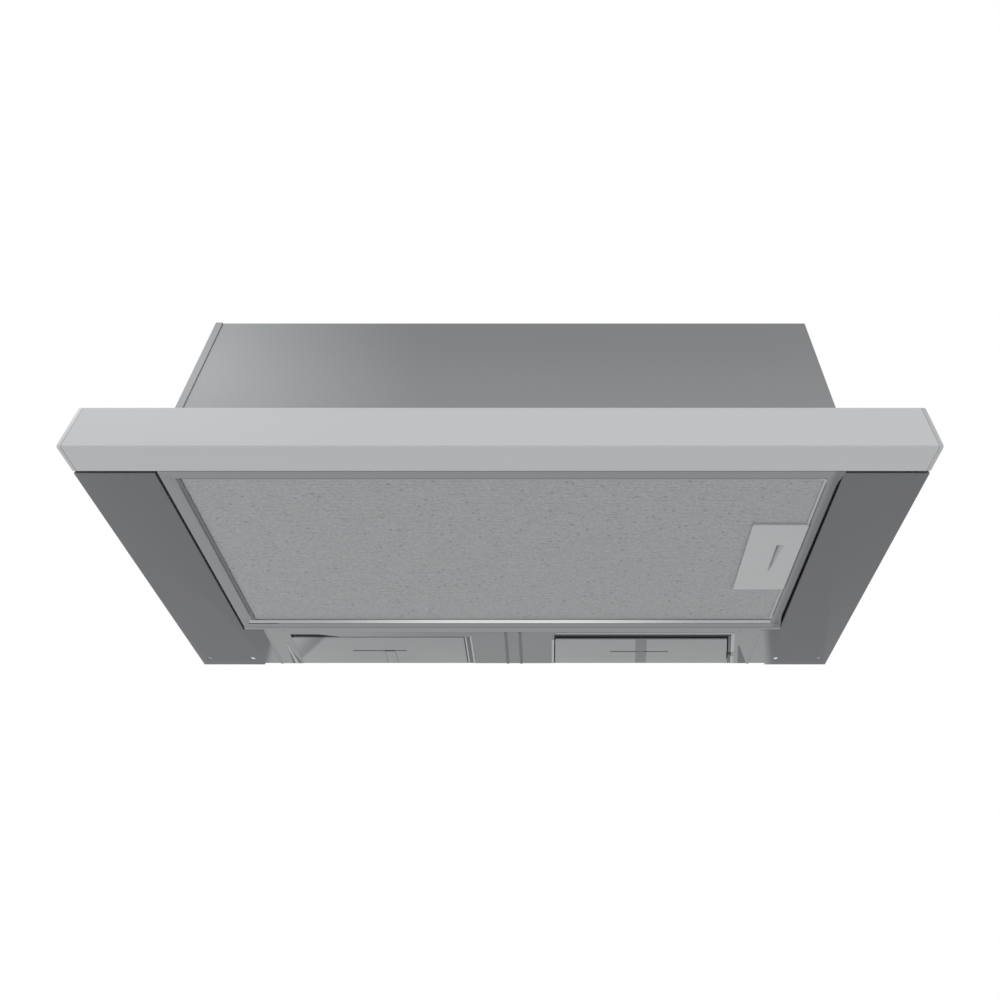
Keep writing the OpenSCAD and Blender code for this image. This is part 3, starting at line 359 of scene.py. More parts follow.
def soft_copy(node: str, width: float) -> Piece:
    """Copies a CAD node with its flat faces joined, and rounds its edges by a small width.

    Args:
        node: CAD node to copy.
        width: width of the rounding in millimetres.

    Returns:
        The new object.
    """
    flat_deg, edge_deg, doubles = 0.6, 34.0, 1e-6
    form = bmesh.new()
    form.from_mesh(frame["nodes"][node].data)
    bmesh.ops.remove_doubles(form, verts=form.verts, dist=doubles)
    bmesh.ops.dissolve_limit(form, angle_limit=math.radians(flat_deg), verts=form.verts, edges=form.edges)
    mesh = bpy.data.meshes.new(node + "_dressed")
    form.to_mesh(mesh)
    form.free()
    if "custom_normal" in mesh.attributes:
        mesh.attributes.remove(mesh.attributes["custom_normal"])
    mesh.materials.clear()
    mesh.shade_smooth()
    piece = bpy.data.objects.new(mesh.name, mesh)
    bpy.context.scene.collection.objects.link(piece)
    bevel = piece.modifiers.new("round edges", "BEVEL")
    bevel.width, bevel.segments, bevel.limit_method = width * MM, 2, "ANGLE"
    bevel.angle_limit = math.radians(edge_deg)
    piece.modifiers.new("even shading", "WEIGHTED_NORMAL").keep_sharp = True
    return piece


# Finishes


def linear(colour: str) -> tuple[float, float, float, float]:
    """Turns an sRGB hex colour to linear light: c/12.92 below 0.04045, else ((c+0.055)/1.055)^2.4."""
    value = np.array([int(colour[i : i + 2], 16) for i in (1, 3, 5)]) / 255
    light = np.where(value <= 0.04045, value / 12.92, ((value + 0.055) / 1.055) ** 2.4)
    return (*(float(c) for c in light), 1.0)


def add_node(tree: bpy.types.NodeTree, kind: str, links: dict | None = None, **settings: object) -> bpy.types.Node:
    """Adds a node with its settings, and links or sets its inputs.

    Args:
        tree: node tree that takes the node.
        kind: Blender's name for the node's type, without ShaderNode.
        links: input name or number, and the output socket or the value that it gets.
        settings: properties of the node.

    Returns:
        The new node.
    """
    node = tree.nodes.new("ShaderNode" + kind)
    for key, value in settings.items():
        setattr(node, key, value)
    for key, value in (links or {}).items():
        if isinstance(value, Socket):
            tree.links.new(value, node.inputs[key])
        else:
            node.inputs[key].default_value = value
    return node


class Grain(Enum):
    """Kinds of fine pattern."""

    CLOUDS = "soft noise, as on paint and mouldings"
    SPANGLES = "flat patches of slightly different grey, as zinc crystals are"
    # Specks: painted shade where two strands part.
    SPECKS = "soft noise with small dark specks, where two strands part"
    SHEETS = "bands across x, as the edges of stacked sheets"
    # Loops: painted highlight on top and painted shade between.
    LOOPS = "small loops of wire, bright on top and dark between"


@dataclass(frozen=True)
class Finish:
    """A surface with a fine grain, a slow change of tone and a shallow relief.

    Grain, relief and mottle size are in millimetres. Grain tone and mottle are shares by which the colour changes.
    """

    title: str
    colour: str
    metallic: float = 0.0
    roughness: float = 0.5
    grain: float | Point = 1.0
    relief: float = 0.02
    grain_tone: float = 0.04
    mottle: float = 0.04
    mottle_size: float = 70.0
    coat: float = 0.0
    kind: Grain = Grain.CLOUDS
    through: float = 0.0
    ior: float = 1.5

    @cache
    def material(self) -> bpy.types.Material:
        """Builds the material once.

        Returns:
            A node material: tone and relief from the pattern, on Object coordinates.
        """
        made = bpy.data.materials.new(self.title)
        made.use_nodes = True
        tree = made.node_tree
        tree.nodes.clear()
        place = add_node(tree, "TexCoord").outputs["Object"]
        fine, height = self.pattern(tree, place)
        slow = add_node(tree, "TexNoise", {"Vector": place, "Scale": 1 / (self.mottle_size * MM), "Detail": 3.0,
                                           "Roughness": 0.6}).outputs["Fac"]
        base = np.array(linear(self.colour)[:3])
        shades = [tuple(float(c) for c in np.clip(base * (1 + change), 0, 1)) + (1.0,)
                  for change in (-self.mottle, self.mottle, -self.grain_tone, self.grain_tone)]
        wide = add_node(tree, "Mix", {0: slow, 6: shades[0], 7: shades[1]}, data_type="RGBA").outputs[2]
        grainy = add_node(tree, "Mix", {0: fine, 6: shades[2], 7: shades[3]}, data_type="RGBA").outputs[2]
        tone = add_node(tree, "Mix", {0: 0.5, 6: wide, 7: grainy}, data_type="RGBA").outputs[2]
        tone = self.tint(tree, place, tone)
        rough = add_node(tree, "MapRange", {"Value": fine, "To Min": max(0.04, self.roughness - 0.05),
                                            "To Max": self.roughness + 0.05}).outputs[0]
        bump = add_node(tree, "Bump", {"Height": height, "Distance": self.relief * MM, "Strength": 1.0}).outputs[0]
        shader = add_node(tree, "BsdfPrincipled",
                          {"Base Color": tone, "Roughness": rough, "Normal": bump, "Metallic": self.metallic,
                           "Coat Weight": self.coat, "Coat Roughness": 0.15, "Transmission Weight": self.through,
                           "IOR": self.ior})
        add_node(tree, "OutputMaterial", {"Surface": shader.outputs[0]})
        return made

    def tint(self, tree: bpy.types.NodeTree, place: Socket, tone: Socket) -> Socket:
        """Leaves the tone as it is."""
        return tone

    def pattern(self, tree: bpy.types.NodeTree, place: Socket) -> tuple[Socket, Socket]:
        """Draws the fine grain in units of one grain.

        A spangle has its cell's own tone, and its height is the distance to the cell's middle. Specks, a painted shade,
        are where that distance is small. Loops, with a painted highlight on top and painted shade between, run where
        the distance to the edge of a warped cell is small. A band's wave is as long as the grain.

        Args:
            tree: node tree that takes the nodes.
            place: Object coordinates.

        Returns:
            Sockets of the tone and of the height, both from 0 to 1.
        """
        if self.kind is Grain.SHEETS:
            bands = {"Vector": place, "Scale": 0.314 / (self.grain * MM), "Distortion": 1.5, "Detail": 2.0}
            wave = add_node(tree, "TexWave", bands, wave_type="BANDS", bands_direction="X").outputs["Fac"]
            return wave, wave
        size = tuple(float(1 / (g * MM)) for g in np.broadcast_to(self.grain, 3))
        scaled = add_node(tree, "Mapping", {"Vector": place, "Scale": size}).outputs[0]
        if self.kind is Grain.SPANGLES:
            cells = add_node(tree, "TexVoronoi", {"Vector": scaled, "Scale": 1.0}).outputs
            return add_node(tree, "SeparateColor", {0: cells["Color"]}).outputs[0], cells["Distance"]
        if self.kind is Grain.SPECKS:
            noise = add_node(tree, "TexNoise", {"Vector": scaled, "Scale": 3.4, "Detail": 3.0}).outputs["Fac"]
            cells = add_node(tree, "TexVoronoi", {"Vector": scaled, "Scale": 1.0}).outputs["Distance"]
            clear = add_node(tree, "MapRange", {"Value": cells, "From Min": 0.072, "From Max": 0.18,
                                                "To Min": -0.6}).outputs[0]
            return add_node(tree, "Math", {0: noise, 1: clear}, operation="MULTIPLY").outputs[0], noise
        if self.kind is Grain.LOOPS:
            warp = add_node(tree, "TexNoise", {"Vector": scaled, "Scale": 0.6, "Detail": 3.0}).outputs["Color"]
            bent = add_node(tree, "Mix", {0: 0.35, 6: scaled, 7: warp}, data_type="RGBA").outputs[2]
            cells = add_node(tree, "TexVoronoi", {"Vector": bent, "Scale": 1.0}, feature="DISTANCE_TO_EDGE")
            loops = add_node(tree, "MapRange", {"Value": cells.outputs["Distance"], "From Max": 0.35, "To Min": 1.0,
                                                "To Max": 0.0}).outputs[0]
            return loops, loops
        noise = add_node(tree, "TexNoise", {"Vector": scaled, "Scale": 1.0, "Detail": 4.0, "Roughness": 0.55})
        return noise.outputs["Fac"], noise.outputs["Fac"]


@dataclass(frozen=True)
class Graded(Finish):
    """A coat whose tone runs softly to a second one along a direction, or away from x = 0 on both sides. Every use here
    paints light or shade with the second tone.
    """

    second: str = "#808080"
    way: Point = (1.0, 0.0, 0.0)
    mirrored: bool = False
    start: float = 0.0
    end: float = 1.0
    fall: float = 0.0

    def tint(self, tree: bpy.types.NodeTree, place: Socket, tone: Socket) -> Socket:
        """Mixes in the second tone by s^2 (3 - 2s), where s runs from 0 at the start to 1 at the end.

        With a fall, the first tone is back that far past the end.

        Args:
            tree: node tree that takes the nodes.
            place: Object coordinates.
            tone: the coat's own tone.

        Returns:
            Socket of the mixed tone.
        """
        along = add_node(tree, "VectorMath", {0: place, 1: self.way}, operation="DOT_PRODUCT").outputs["Value"]
        if self.mirrored:
            along = add_node(tree, "Math", {0: along}, operation="ABSOLUTE").outputs[0]
        share = add_node(tree, "MapRange", {"Value": along, "From Min": self.start * MM, "From Max": self.end * MM},
                         interpolation_type="SMOOTHSTEP").outputs[0]
        if self.fall:
            back = add_node(tree, "MapRange", {"Value": along, "From Min": (self.end + self.fall) * MM,
                                               "From Max": self.end * MM}, interpolation_type="SMOOTHSTEP").outputs[0]
            share = add_node(tree, "Math", {0: share, 1: back}, operation="MULTIPLY").outputs[0]
        return add_node(tree, "Mix", {0: share, 6: tone, 7: linear(self.second)}, data_type="RGBA").outputs[2]


# Satin stoved paint on sheet steel: even, softly shining, with a faint orange-peel skin of about 1.5 mm. Its tone is
# painted lighter from z = 176 mm down to z = 40 mm, for the light that bounces up from below: painted light.
BODY_PAINT_LIT_BELOW = Graded("satin coated steel", "#787a7b", 0.25, 0.42, 1.5, 0.006, 0.02, 0.03, second="#8a8b8c",
                    way=(0.0, 0.0, 1.0), start=176.0, end=40.0)
PANEL_PAINT = Finish("satin coated panel", "#909293", 0.35, 0.42, 1.5, 0.006, 0.03, 0.04)
# Lamp panel coat, painted lighter from |x| = 36 mm out to |x| = 200 mm, as the light falls on its ends: painted light.
LAMP_PAINT_LIT_ENDS = Graded("satin coated lamp panel", "#838586", 0.35, 0.42, 1.5, 0.006, 0.03, 0.04, second="#969899",
                    mirrored=True, start=36.0, end=200.0)
DARK_PAINT = Finish("satin dark coat", "#6a6b6e", 0.3, 0.45, 1.5, 0.008, 0.03, 0.05)
# The dark coat's feet beside the lamp panel, painted paler inward of a slanting line, where a reflection falls on them:
# painted reflection.
FOOT_REFLECTION_PAINT: dict[Side, Finish] = {
    Side.LEFT: Graded("satin dark coat, left foot", "#6a6b6e", 0.3, 0.45, 1.5, 0.008, 0.03, 0.05, second="#939596",
                      way=(1.0, 0.38, 0.0), start=-187.0, end=-179.5),
    Side.RIGHT: Graded("satin dark coat, right foot", "#6a6b6e", 0.3, 0.45, 1.5, 0.008, 0.03, 0.05, second="#969899",
                       way=(1.0, -0.26, 0.0), start=212.5, end=202.0),
}
FRAME_PAINT = Finish("pressed coated frame", "#8e9091", 0.4, 0.36, 1.5, 0.006, 0.02, 0.03)
# The drawer frame's coat, painted darker from x = 231.5 to 236 mm, where the rolled right side turns away from the
# light: painted shade.
ROLL_SHADE_PAINT = Graded("pressed coated frame, rolled side", "#8b8d8e", 0.4, 0.36, 1.5, 0.006, 0.02, 0.03,
                    second="#737576", start=231.5, end=236.0)
# A darker coat for creases, ledges and patches, standing in for the shade that falls in them: painted shade.
CREASE_SHADE = Finish("coat in a pressed crease", "#6e7071", 0.35, 0.5, 1.5, 0.006, 0.03, 0.04)
# Galvanised sheet: crystals of 6 mm in slightly different greys, dull shine.
ZINC = Finish("galvanised sheet", "#a4a7a9", 0.85, 0.42, 6.0, 0.004, 0.12, 0.05, kind=Grain.SPANGLES)
INLET_ZINC = Finish("galvanised inlet sheet", "#7d7f80", 0.8, 0.45, 6.0, 0.004, 0.12, 0.05, kind=Grain.SPANGLES)
# Anodised extrusion, brushed along its length: hair lines 0.4 mm apart and centimetres long.
ANODISED = Finish("brushed anodised aluminium", "#c0c2c3", 0.9, 0.34, (45.0, 0.4, 0.4), 0.003, 0.03, 0.02)
# Bare rolled aluminium sheet: bright, with faint rolling lines.
ROLLED = Finish("rolled aluminium", "#c6c9ca", 0.9, 0.34, (20.0, 0.8, 0.8), 0.004, 0.05, 0.05)
# Bright polished plating, given to the inner cover screws only, so that they glint and the outer ones stay dull:
# painted glint.
GLINT_PLATING = Finish("polished sheet edge", "#eef0f0", 0.95, 0.3, (20.0, 0.8, 0.8), 0.004, 0.04, 0.06)
# A bright bead laid along the rear lip where a highlight runs, painted duller towards its ends: painted highlight.
BEAD_HIGHLIGHT = Graded("polished bead, dull towards its ends", "#eef0f0", 0.95, 0.3, (20.0, 0.8, 0.8), 0.004, 0.04,
                    0.06, second="#b6b8b9", mirrored=True, start=40.0, end=190.0)
# Slit and stretched aluminium foil, rolled nearly flat: pale strands with dark specks 8 mm apart, painted shade where
# the strands part.
EXPANDED = Finish("expanded aluminium", "#a1a3a4", 0.5, 0.5, 8.0, 0.03, 0.5, 0.08, 18.0, kind=Grain.SPECKS)
# The rim of the same stock, painted brighter from x = 222 to 228.6 mm, beside the rolled lip: painted highlight.
RIM_HIGHLIGHT_METAL = Graded("folded aluminium rim", "#a1a3a4", 0.5, 0.45, 8.0, 0.01, 0.04, 0.05, second="#b2b4b5",
                   start=222.0, end=228.6)
# Knitted aluminium wire, flattened to a mat: 1.2 mm loops, painted brighter on top and darker between: painted
# highlight and shade.
WIRE_MAT = Finish("knitted aluminium wire", "#a5a7a8", 0.5, 0.5, 1.2, 0.25, 0.3, 0.08, 25.0, kind=Grain.LOOPS)
# Polypropylene casing: black, faintly grained by the mould.
CASING = Finish("moulded polypropylene", "#37383a", 0.0, 0.5, 0.9, 0.03, 0.06, 0.04)
# ABS mouldings: fine spark-eroded texture of about 0.6 mm.
CAP_ABS = Finish("moulded grey plastic", "#b3b5b6", 0.0, 0.42, 0.6, 0.012, 0.02, 0.02)
LATCH_ABS = Finish("moulded latch plastic", "#b0b2b3", 0.0, 0.4, 0.6, 0.012, 0.02, 0.02)
# The slider's scoop, painted dark towards its left edge and fading to the right, where the plate's edge shades it:
# painted shade.
LATCH_SCOOP_SHADE = Graded("moulded latch plastic, deep scoop", "#58595a", 0.0, 0.4, 0.6, 0.012, 0.02, 0.02,
                     second="#b0b2b3", way=(1.0, 0.129, 0.0), start=206.5, end=211.6)
KNOB_ABS = Finish("moulded pale plastic", "#d9dadb", 0.0, 0.38, 0.6, 0.012, 0.02, 0.02)
STRIP_SHADE = Finish("grey moulded finger strip", "#77797a", 0.0, 0.4, 0.6, 0.012, 0.05, 0.05, 12.0)
# Near black, laid behind the covers' slots and in a slit on the rear lip, where only shade shows: painted shade.
SLOT_SHADE = Finish("dark moulded rib", "#3a3b3c", 0.0, 0.5, 0.6, 0.012, 0.05, 0.05)
# Nylon: milky, waxy.
NYLON = Finish("natural nylon", "#eeeeea", 0.0, 0.45, 0.8, 0.01, 0.03, 0.02)
# Rubber: near black, dull.
RUBBER = Finish("moulded rubber", "#26272a", 0.0, 0.7, 0.5, 0.02, 0.1, 0.05)
# Frosted acrylic: satin, lets a little light through.
FROSTED = Finish("frosted acrylic", "#9b9d9e", 0.0, 0.33, 0.7, 0.01, 0.03, 0.04, 40.0, 0.1, through=0.1, ior=1.49)
# The left cover, painted darker up to a slanting line and back to its own tone just past it, where a streak of shade
# falls: painted shade.
FROSTED_LEFT_SHADE = Graded("frosted acrylic, bowed end", "#919394", 0.0, 0.33, 0.7, 0.01, 0.03, 0.04, 40.0, 0.1,
                      second="#707274", way=(1.0, 0.79, 0.0), start=-120.0, end=-97.5, fall=5.5)
# Opal glass: milky, glossy, glows through.
OPAL_GLASS = Finish("opal glass", "#f2f0e8", 0.0, 0.18, 2.0, 0.002, 0.01, 0.02, 40.0, through=0.35)
# Passivated clips and trims: pale, satin.
CLIP = Finish("passivated clip steel", "#b2b4b5", 0.5, 0.4, 0.8, 0.006, 0.04, 0.04)
# Stoved white enamel and glazed porcelain: glossy, with a slight ripple.
ENAMEL = Finish("white stoved enamel", "#dcdcd8", 0.0, 0.25, 2.5, 0.01, 0.02, 0.03, 70.0, 0.3)
PORCELAIN = Finish("glazed porcelain", "#eceae2", 0.0, 0.2, 1.5, 0.01, 0.02, 0.03, 30.0, 0.4)
# Bright zinc-plated screws and rivets.
PLATED = Finish("zinc-plated steel", "#d2d4d5", 0.95, 0.24, 0.6, 0.006, 0.05, 0.04)
# The motor's stack of sheets 0.6 mm thick: dull, with dark lines between.
MOTOR_METAL = Finish("stacked motor sheets", "#a3a5a6", 0.9, 0.42, 0.6, 0.06, 0.12, 0.06, 30.0, kind=Grain.SHEETS)
# Drawn can with white lacquer: smooth, satin.
DRAWN_CAN = Finish("drawn white can", "#e4e4e0", 0.0, 0.35, 1.0, 0.01, 0.02, 0.03)
# Matt white paper.
PAPER = Finish("pale studio floor", "#fbfbfb", 0.0, 0.9, 3.0, 0.0, 0.005, 0.005)

FINISHES: dict[str, Finish] = {
    "body_steel": BODY_PAINT_LIT_BELOW,
    "inlet_steel": INLET_ZINC,
    "cover_paint": DARK_PAINT,
    "panel_steel": PANEL_PAINT,
    "screw_steel": PLATED,
    "tray_enamel": ENAMEL,
    "holder_ceramic": PORCELAIN,
    "bulb_glass": OPAL_GLASS,
    "cover_plastic": FROSTED,
    "zinc_steel": ZINC,
    "filter_aluminium": ROLLED,
    "mesh_aluminium": EXPANDED,
    "wadding_aluminium": WIRE_MAT,
    "fascia_aluminium": ANODISED,
    "cap_plastic": CAP_ABS,
    "frame_steel": FRAME_PAINT,
    "nylon": NYLON,
    "latch_plastic": LATCH_ABS,
    "casing_plastic": CASING,
    "grommet_rubber": RUBBER,
    "motor_steel": MOTOR_METAL,
    "cap_case": DRAWN_CAN,
    "wheel_steel": ZINC,
    "knob_plastic": KNOB_ABS,
}


def fit(piece: Piece, slot: str = "", node: str = "", finish: Finish | None = None, body: str = "housing") -> Piece:
    """Gives a finished piece the material of its slot or finish, puts it on its body, and hides the CAD node that it
    stands for.

    Args:
        piece: the piece, with its place in its mesh.
        slot: the record's material slot, or nothing to take that of the node.
        node: CAD node that it stands for, if any.
        finish: a finish other than the slot's own.
        body: CAD body that it rides on.

    Returns:
        The same piece.
    """
    slot = slot or SLOT_OF_NODE[node]
    piece.data.materials.clear()
    piece.data.materials.append((finish or FINISHES[slot]).material())
    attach(piece, body)
    if node:
        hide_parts(node)
    LOG.info("%s: %d faces, on %s", piece.name, len(piece.data.polygons), body)
    return piece


def soften(*nodes: str, width: float = 0.3, body: str = "housing") -> None:
    """Replaces CAD nodes by copies with small round edges.

    Args:
        nodes: the nodes.
        width: width of the rounding in millimetres.
        body: CAD body that they ride on.
    """
    for node in nodes:
        fit(soft_copy(node, width), node=node, body=body)


@dataclass(frozen=True)
class Fastener:
    """A cross-recessed screw or a plain rivet, whose seat stands at a point and whose head looks along an axis."""

    radius: float
    dome: float
    rim: float
    recess: float = 1.9
    recess_w: float = 0.75
    recess_depth: float = 0.9
    cross: bool = True

    def heads(self, name: str, places: list[Point], axis: Axis, way: float, shank: Pair) -> Piece:
        """Builds heads whose crown is r/R-shaped: height = dome (1 - (r/R)^2) above a short rim.

        Args:
            name: name of the piece.
            places: middle of each head's seat.
            axis: axis of the fasteners.
            way: 1 where the heads look towards +axis, -1 where they look back.
            shank: radius and length of the shank behind the seat, or zeros.

        Returns:
            One object with all the heads.
        """
        line = [(self.radius * 0.97, 0.0), (self.radius, self.rim * 0.3)]
        line += [(self.radius * s, self.rim + self.dome * (1 - s * s)) for s in np.linspace(1, 0.04, 7)]
        if shank[1] > 0:
            line = [(shank[0] * 0.6, -shank[1]), (shank[0], -shank[1] + 1.0), (shank[0], 0.0)] + line
        top = self.rim + self.dome
        w, r = self.recess_w / 2, self.recess
        plus = np.array([(r, w), (w, w), (w, r), (-w, r), (-w, w), (-r, w), (-r, -w), (-w, -w), (-w, -r), (w, -r),
                         (w, -w), (r, -w)])
        flat = [i for i in range(3) if i != axis.value]
        shell, cutter = Shell(), Shell()
        for place in places:
            shell.lathe(line, place, axis, count=28, way=way)
            depth = place[axis.value] + way * (top - self.recess_depth)
            cutter.prism(plus + np.array(place)[flat], depth, place[axis.value] + way * (top + 1), axis)
        piece = shell.build(name)
        return carve(piece, cutter) if self.cross else piece

    def fasten(self, name: str, places: list[Point], axis: Axis, way: float = 1.0, shank: Pair = (0.0, 0.0),
               **fitting: str | Finish) -> None:
        """Builds the heads and fits them as plated steel."""
        fit(self.heads(name, places, axis, way, shank), "screw_steel", **fitting)


@dataclass(frozen=True)
class Lamp:
    """A square soft lamp: its place and the point it looks at, its side in metres, its power in watts and its beam."""

    name: str
    place: Point
    aim: Point
    size: float
    power: float
    spread_deg: float = 180.0

    def hang(self) -> None:
        """Hangs the lamp, turned so that its beam's way runs from its place to its aim."""
        light = bpy.data.lights.new(self.name, "AREA")
        light.shape, light.size, light.energy = "SQUARE", self.size, self.power
        light.spread = math.radians(self.spread_deg)
        lamp = bpy.data.objects.new(self.name, light)
        lamp.visible_glossy = False
        lamp.location = self.place
        way = np.array(self.aim) - np.array(self.place)
        lamp.rotation_euler = (math.acos(-way[2] / np.linalg.norm(way)), 0.0, math.atan2(way[1], way[0]) - math.pi / 2)
        bpy.context.scene.collection.objects.link(lamp)


@dataclass
class Stage:
    """Floor, lamps, surroundings and camera. Its sizes are in metres."""

    floor_z: float = -1.7
    floor_radii: Point = (0.001, 1.0, 7.0)
    floor_gauge: float = 0.01
    surround: float = 0.82
    camera_place: Point = (0.0331, -0.5094, -0.3654)
    camera_tilt_deg: float = 131.28
    camera_lens: float = 27.36
    camera_shift: float = -0.049
    lamps: tuple[Lamp, ...] = (
        Lamp("key lamp", (-0.42, -0.62, 0.36), (-0.27, -0.118, 0.135), 0.03, 0.16, 34.0),
        Lamp("left lamp", (-0.9, -0.15, -0.4), (-0.1, 0.0, 0.0), 0.3, 1.3),
        Lamp("front lamp", (-0.25, -1.6, -0.1), (0.0, 0.0, 0.05), 1.2, 4.0),
    )

    def surroundings(self) -> None:
        """Lights evenly with a pale grey, and shows white to the camera, to mirrors and through glass."""
        world = bpy.data.worlds.new("studio")
        bpy.context.scene.world = world
        world.use_nodes = True
        tree = world.node_tree
        tree.nodes.clear()
        path = add_node(tree, "LightPath").outputs
        seen = path["Is Camera Ray"]
        for ray in ("Is Glossy Ray", "Is Transmission Ray"):
            seen = add_node(tree, "Math", {0: seen, 1: path[ray]}, operation="MAXIMUM").outputs[0]
        soft, white = (add_node(tree, "Background", {"Color": (1, 1, 1, 1), "Strength": strength}).outputs[0]
                       for strength in (self.surround, 1.0))
        both = add_node(tree, "MixShader", {0: seen, 1: soft, 2: white})
        add_node(tree, "OutputWorld", {"Surface": both.outputs[0]})

    def floor(self) -> None:
        """Lays a pale floor below everything: a disc whose rim rings widen evenly."""
        low = self.floor_z - self.floor_gauge
        line = [(r, self.floor_z) for r in self.floor_radii] + [(r, low) for r in self.floor_radii[::-2]]
        disc = Shell().lathe([(r / MM, z / MM) for r, z in line], (0, 0, 0), Axis.Z, count=64).build("floor")
        disc.data.materials.append(PAPER.material())

    def camera(self) -> None:
        """Stands the camera where the photograph was taken from: below and in front, looking up."""
        data = bpy.data.cameras.new("camera")
        data.lens, data.sensor_width, data.shift_x = self.camera_lens, 36.0, self.camera_shift
        data.clip_start = 0.01
        camera = bpy.data.objects.new("camera", data)
        camera.location = self.camera_place
        camera.rotation_euler = (math.radians(self.camera_tilt_deg), 0.0, 0.0)
        bpy.context.scene.collection.objects.link(camera)
        bpy.context.scene.camera = camera

    def build(self) -> None:
        """Sets up the stage."""
        bpy.context.scene.view_settings.view_transform = "Standard"
        self.surroundings()
        self.floor()
        self.camera()
        for lamp in self.lamps:
            lamp.hang()


@dataclass
class Casing:
    """Box, wings and covers, with their screws, rivets and seals."""

    sheet_edge: float = 0.35
    rear_sink: tuple[Pair, ...] = ((1.6, -2.0), (1.6, -1.0), (3.5, 0.05), (3.5, 0.5))
    rear_x: tuple[float, ...] = (-230.0, -78.0, 78.0, 230.0)
    rear_low_z: float = 60.0
    rear_margin: float = 9.0
    rear_seat: float = 0.95
    rear_screw: Fastener = Fastener(3.1, 0.25, 0.5, 1.9, 0.7, 0.7)
    top_y: Point = (-85.0, 10.0, 105.0)
    top_x: Pair = (-170.0, 100.0)
    top_margin: Pair = (6.0, 7.0)
    top_screw: Fastener = Fastener(3.2, 0.9, 0.7)
    rivet_yz: tuple[Pair, ...] = ((-108.0, 60.0), (-108.0, 112.0), (-108.0, 164.0), (138.0, 60.0), (138.0, 112.0),
                                  (138.0, 164.0), (-40.0, 45.0), (50.0, 45.0))
    rivet: Fastener = Fastener(2.2, 0.7, 0.25, cross=False)
    hem_left: Pair = (243.3, 243.3)
    hem_right: Pair = (240.3, 241.7)
    foot_y: float = 85.0
    foot_notch: Pair = (16.0, 3.5)
    cover_sink: tuple[Pair, ...] = ((1.6, 2.0), (1.6, 1.3), (2.7, -0.05), (2.7, -0.5))
    cover_x: Pair = (250.0, 291.0)
    cover_y: float = 137.0
    cover_seat: float = 1.0
    cover_shank_r: float = 1.4
    cover_screw: Fastener = Fastener(2.45, 0.7, 0.25, 1.0, 0.35, 0.3)
    seal: tuple[Point, Point] = ((241.6, -121.0, 1.6), (243.45, 80.4, 6.5))

    def rear(self) -> None:
        """Countersinks the rear panel and sets its screws just below its face."""
        _, face, top = span("rear_panel")[1]
        places = [(x, face, z) for z in (top - self.rear_margin, self.rear_low_z) for x in self.rear_x]
        cutter = Shell()
        for place in places:
            cutter.lathe(self.rear_sink, place, Axis.Y, count=28)
        fit(carve(soft_copy("rear_panel", self.sheet_edge), cutter), node="rear_panel")
        self.rear_screw.fasten("rear_panel_screws", [(x, y - self.rear_seat, z) for x, y, z in places], Axis.Y)

    def top(self) -> None:
        """Sets pan-head screws through the top plate into the side and rear flanges."""
        end, rear, face = span("top_plate")[1]
        places = [(side.value * (end - self.top_margin[0]), y, face) for side in Side for y in self.top_y]
        places += [(x, rear - self.top_margin[1], face) for x in self.top_x]
        self.top_screw.fasten("top_plate_screws", places, Axis.Z)

    def rivets(self) -> None:
        """Sets blind rivets along the box's lower seam and at its front and rear flanges."""
        wall = span("side_panel_right")[1][0]
        for side in Side:
            places = [(side.value * wall, y, z) for y, z in self.rivet_yz]
            self.rivet.fasten("side_rivets_" + side.word, places, Axis.X, side.value)

    def wing_covers(self) -> None:
        """Cuts each cover: a hem beside the drawer, and at the rear a foot below the lamp panel's end."""
        (inner, front, bottom), (outer, rear, top) = span("wing_cover_right")
        notch_x, notch_y = inner + self.foot_notch[0], rear - self.foot_notch[1]
        for side, hem in ((Side.LEFT, self.hem_left), (Side.RIGHT, self.hem_right)):
            outline = [(hem[0], front), (outer, front), (outer, rear), (notch_x, rear), (notch_x, notch_y),
                       (inner, notch_y), (inner, self.foot_y), (hem[1], self.foot_y)]
            cover = Shell().prism(np.array(outline) * (side.value, 1.0), bottom, top, Axis.Z, 0.15)
            cutter = Shell()
            for x in self.cover_x:
                cutter.lathe(self.cover_sink, (side.value * x, self.cover_y, 0), Axis.Z, count=28)
            # Each cover's foot is painted paler inward of a slanting line: painted reflection.
            fit(carve(cover.build("wing_cover_dressed_" + side.word), cutter), node="wing_cover_" + side.word,
                finish=FOOT_REFLECTION_PAINT[side])

    def cover_screws(self) -> None:
        """Sets the countersunk screws of the wing covers: a raised crown that catches the light. The inner pair get
        brighter plating than the outer pair: painted glint.
        """
        shank = (self.cover_shank_r, span("cover_screws")[1][2] - self.cover_seat)
        for x, word, node, finish in zip(self.cover_x, ("inner", "outer"), ("cover_screws", ""), (GLINT_PLATING, ZINC)):
            places = [(side.value * x, self.cover_y, self.cover_seat) for side in Side]
            self.cover_screw.fasten("cover_screws_" + word, places, Axis.Z, -1.0, shank, node=node, finish=finish)

    def seals(self) -> None:
        """Lays the black foam strips that the drawer's sides run along, above the covers' hems."""
        for side in Side:
            strip = Shell().slab(*side.block(*self.seal), 0.5, 0.3, Axis.Y)
            fit(strip.build("side_seal_" + side.word), "grommet_rubber")

    def build(self) -> None:
        """Rounds the folded sheets' bends and cut edges, and adds the rest."""
        soften("front_panel", "side_panel_left", "side_panel_right", "top_plate", "inlet_plate", "wing_left",
               "wing_right", width=self.sheet_edge)
        self.rear()
        self.top()
        self.rivets()
        self.wing_covers()
        self.cover_screws()
        self.seals()


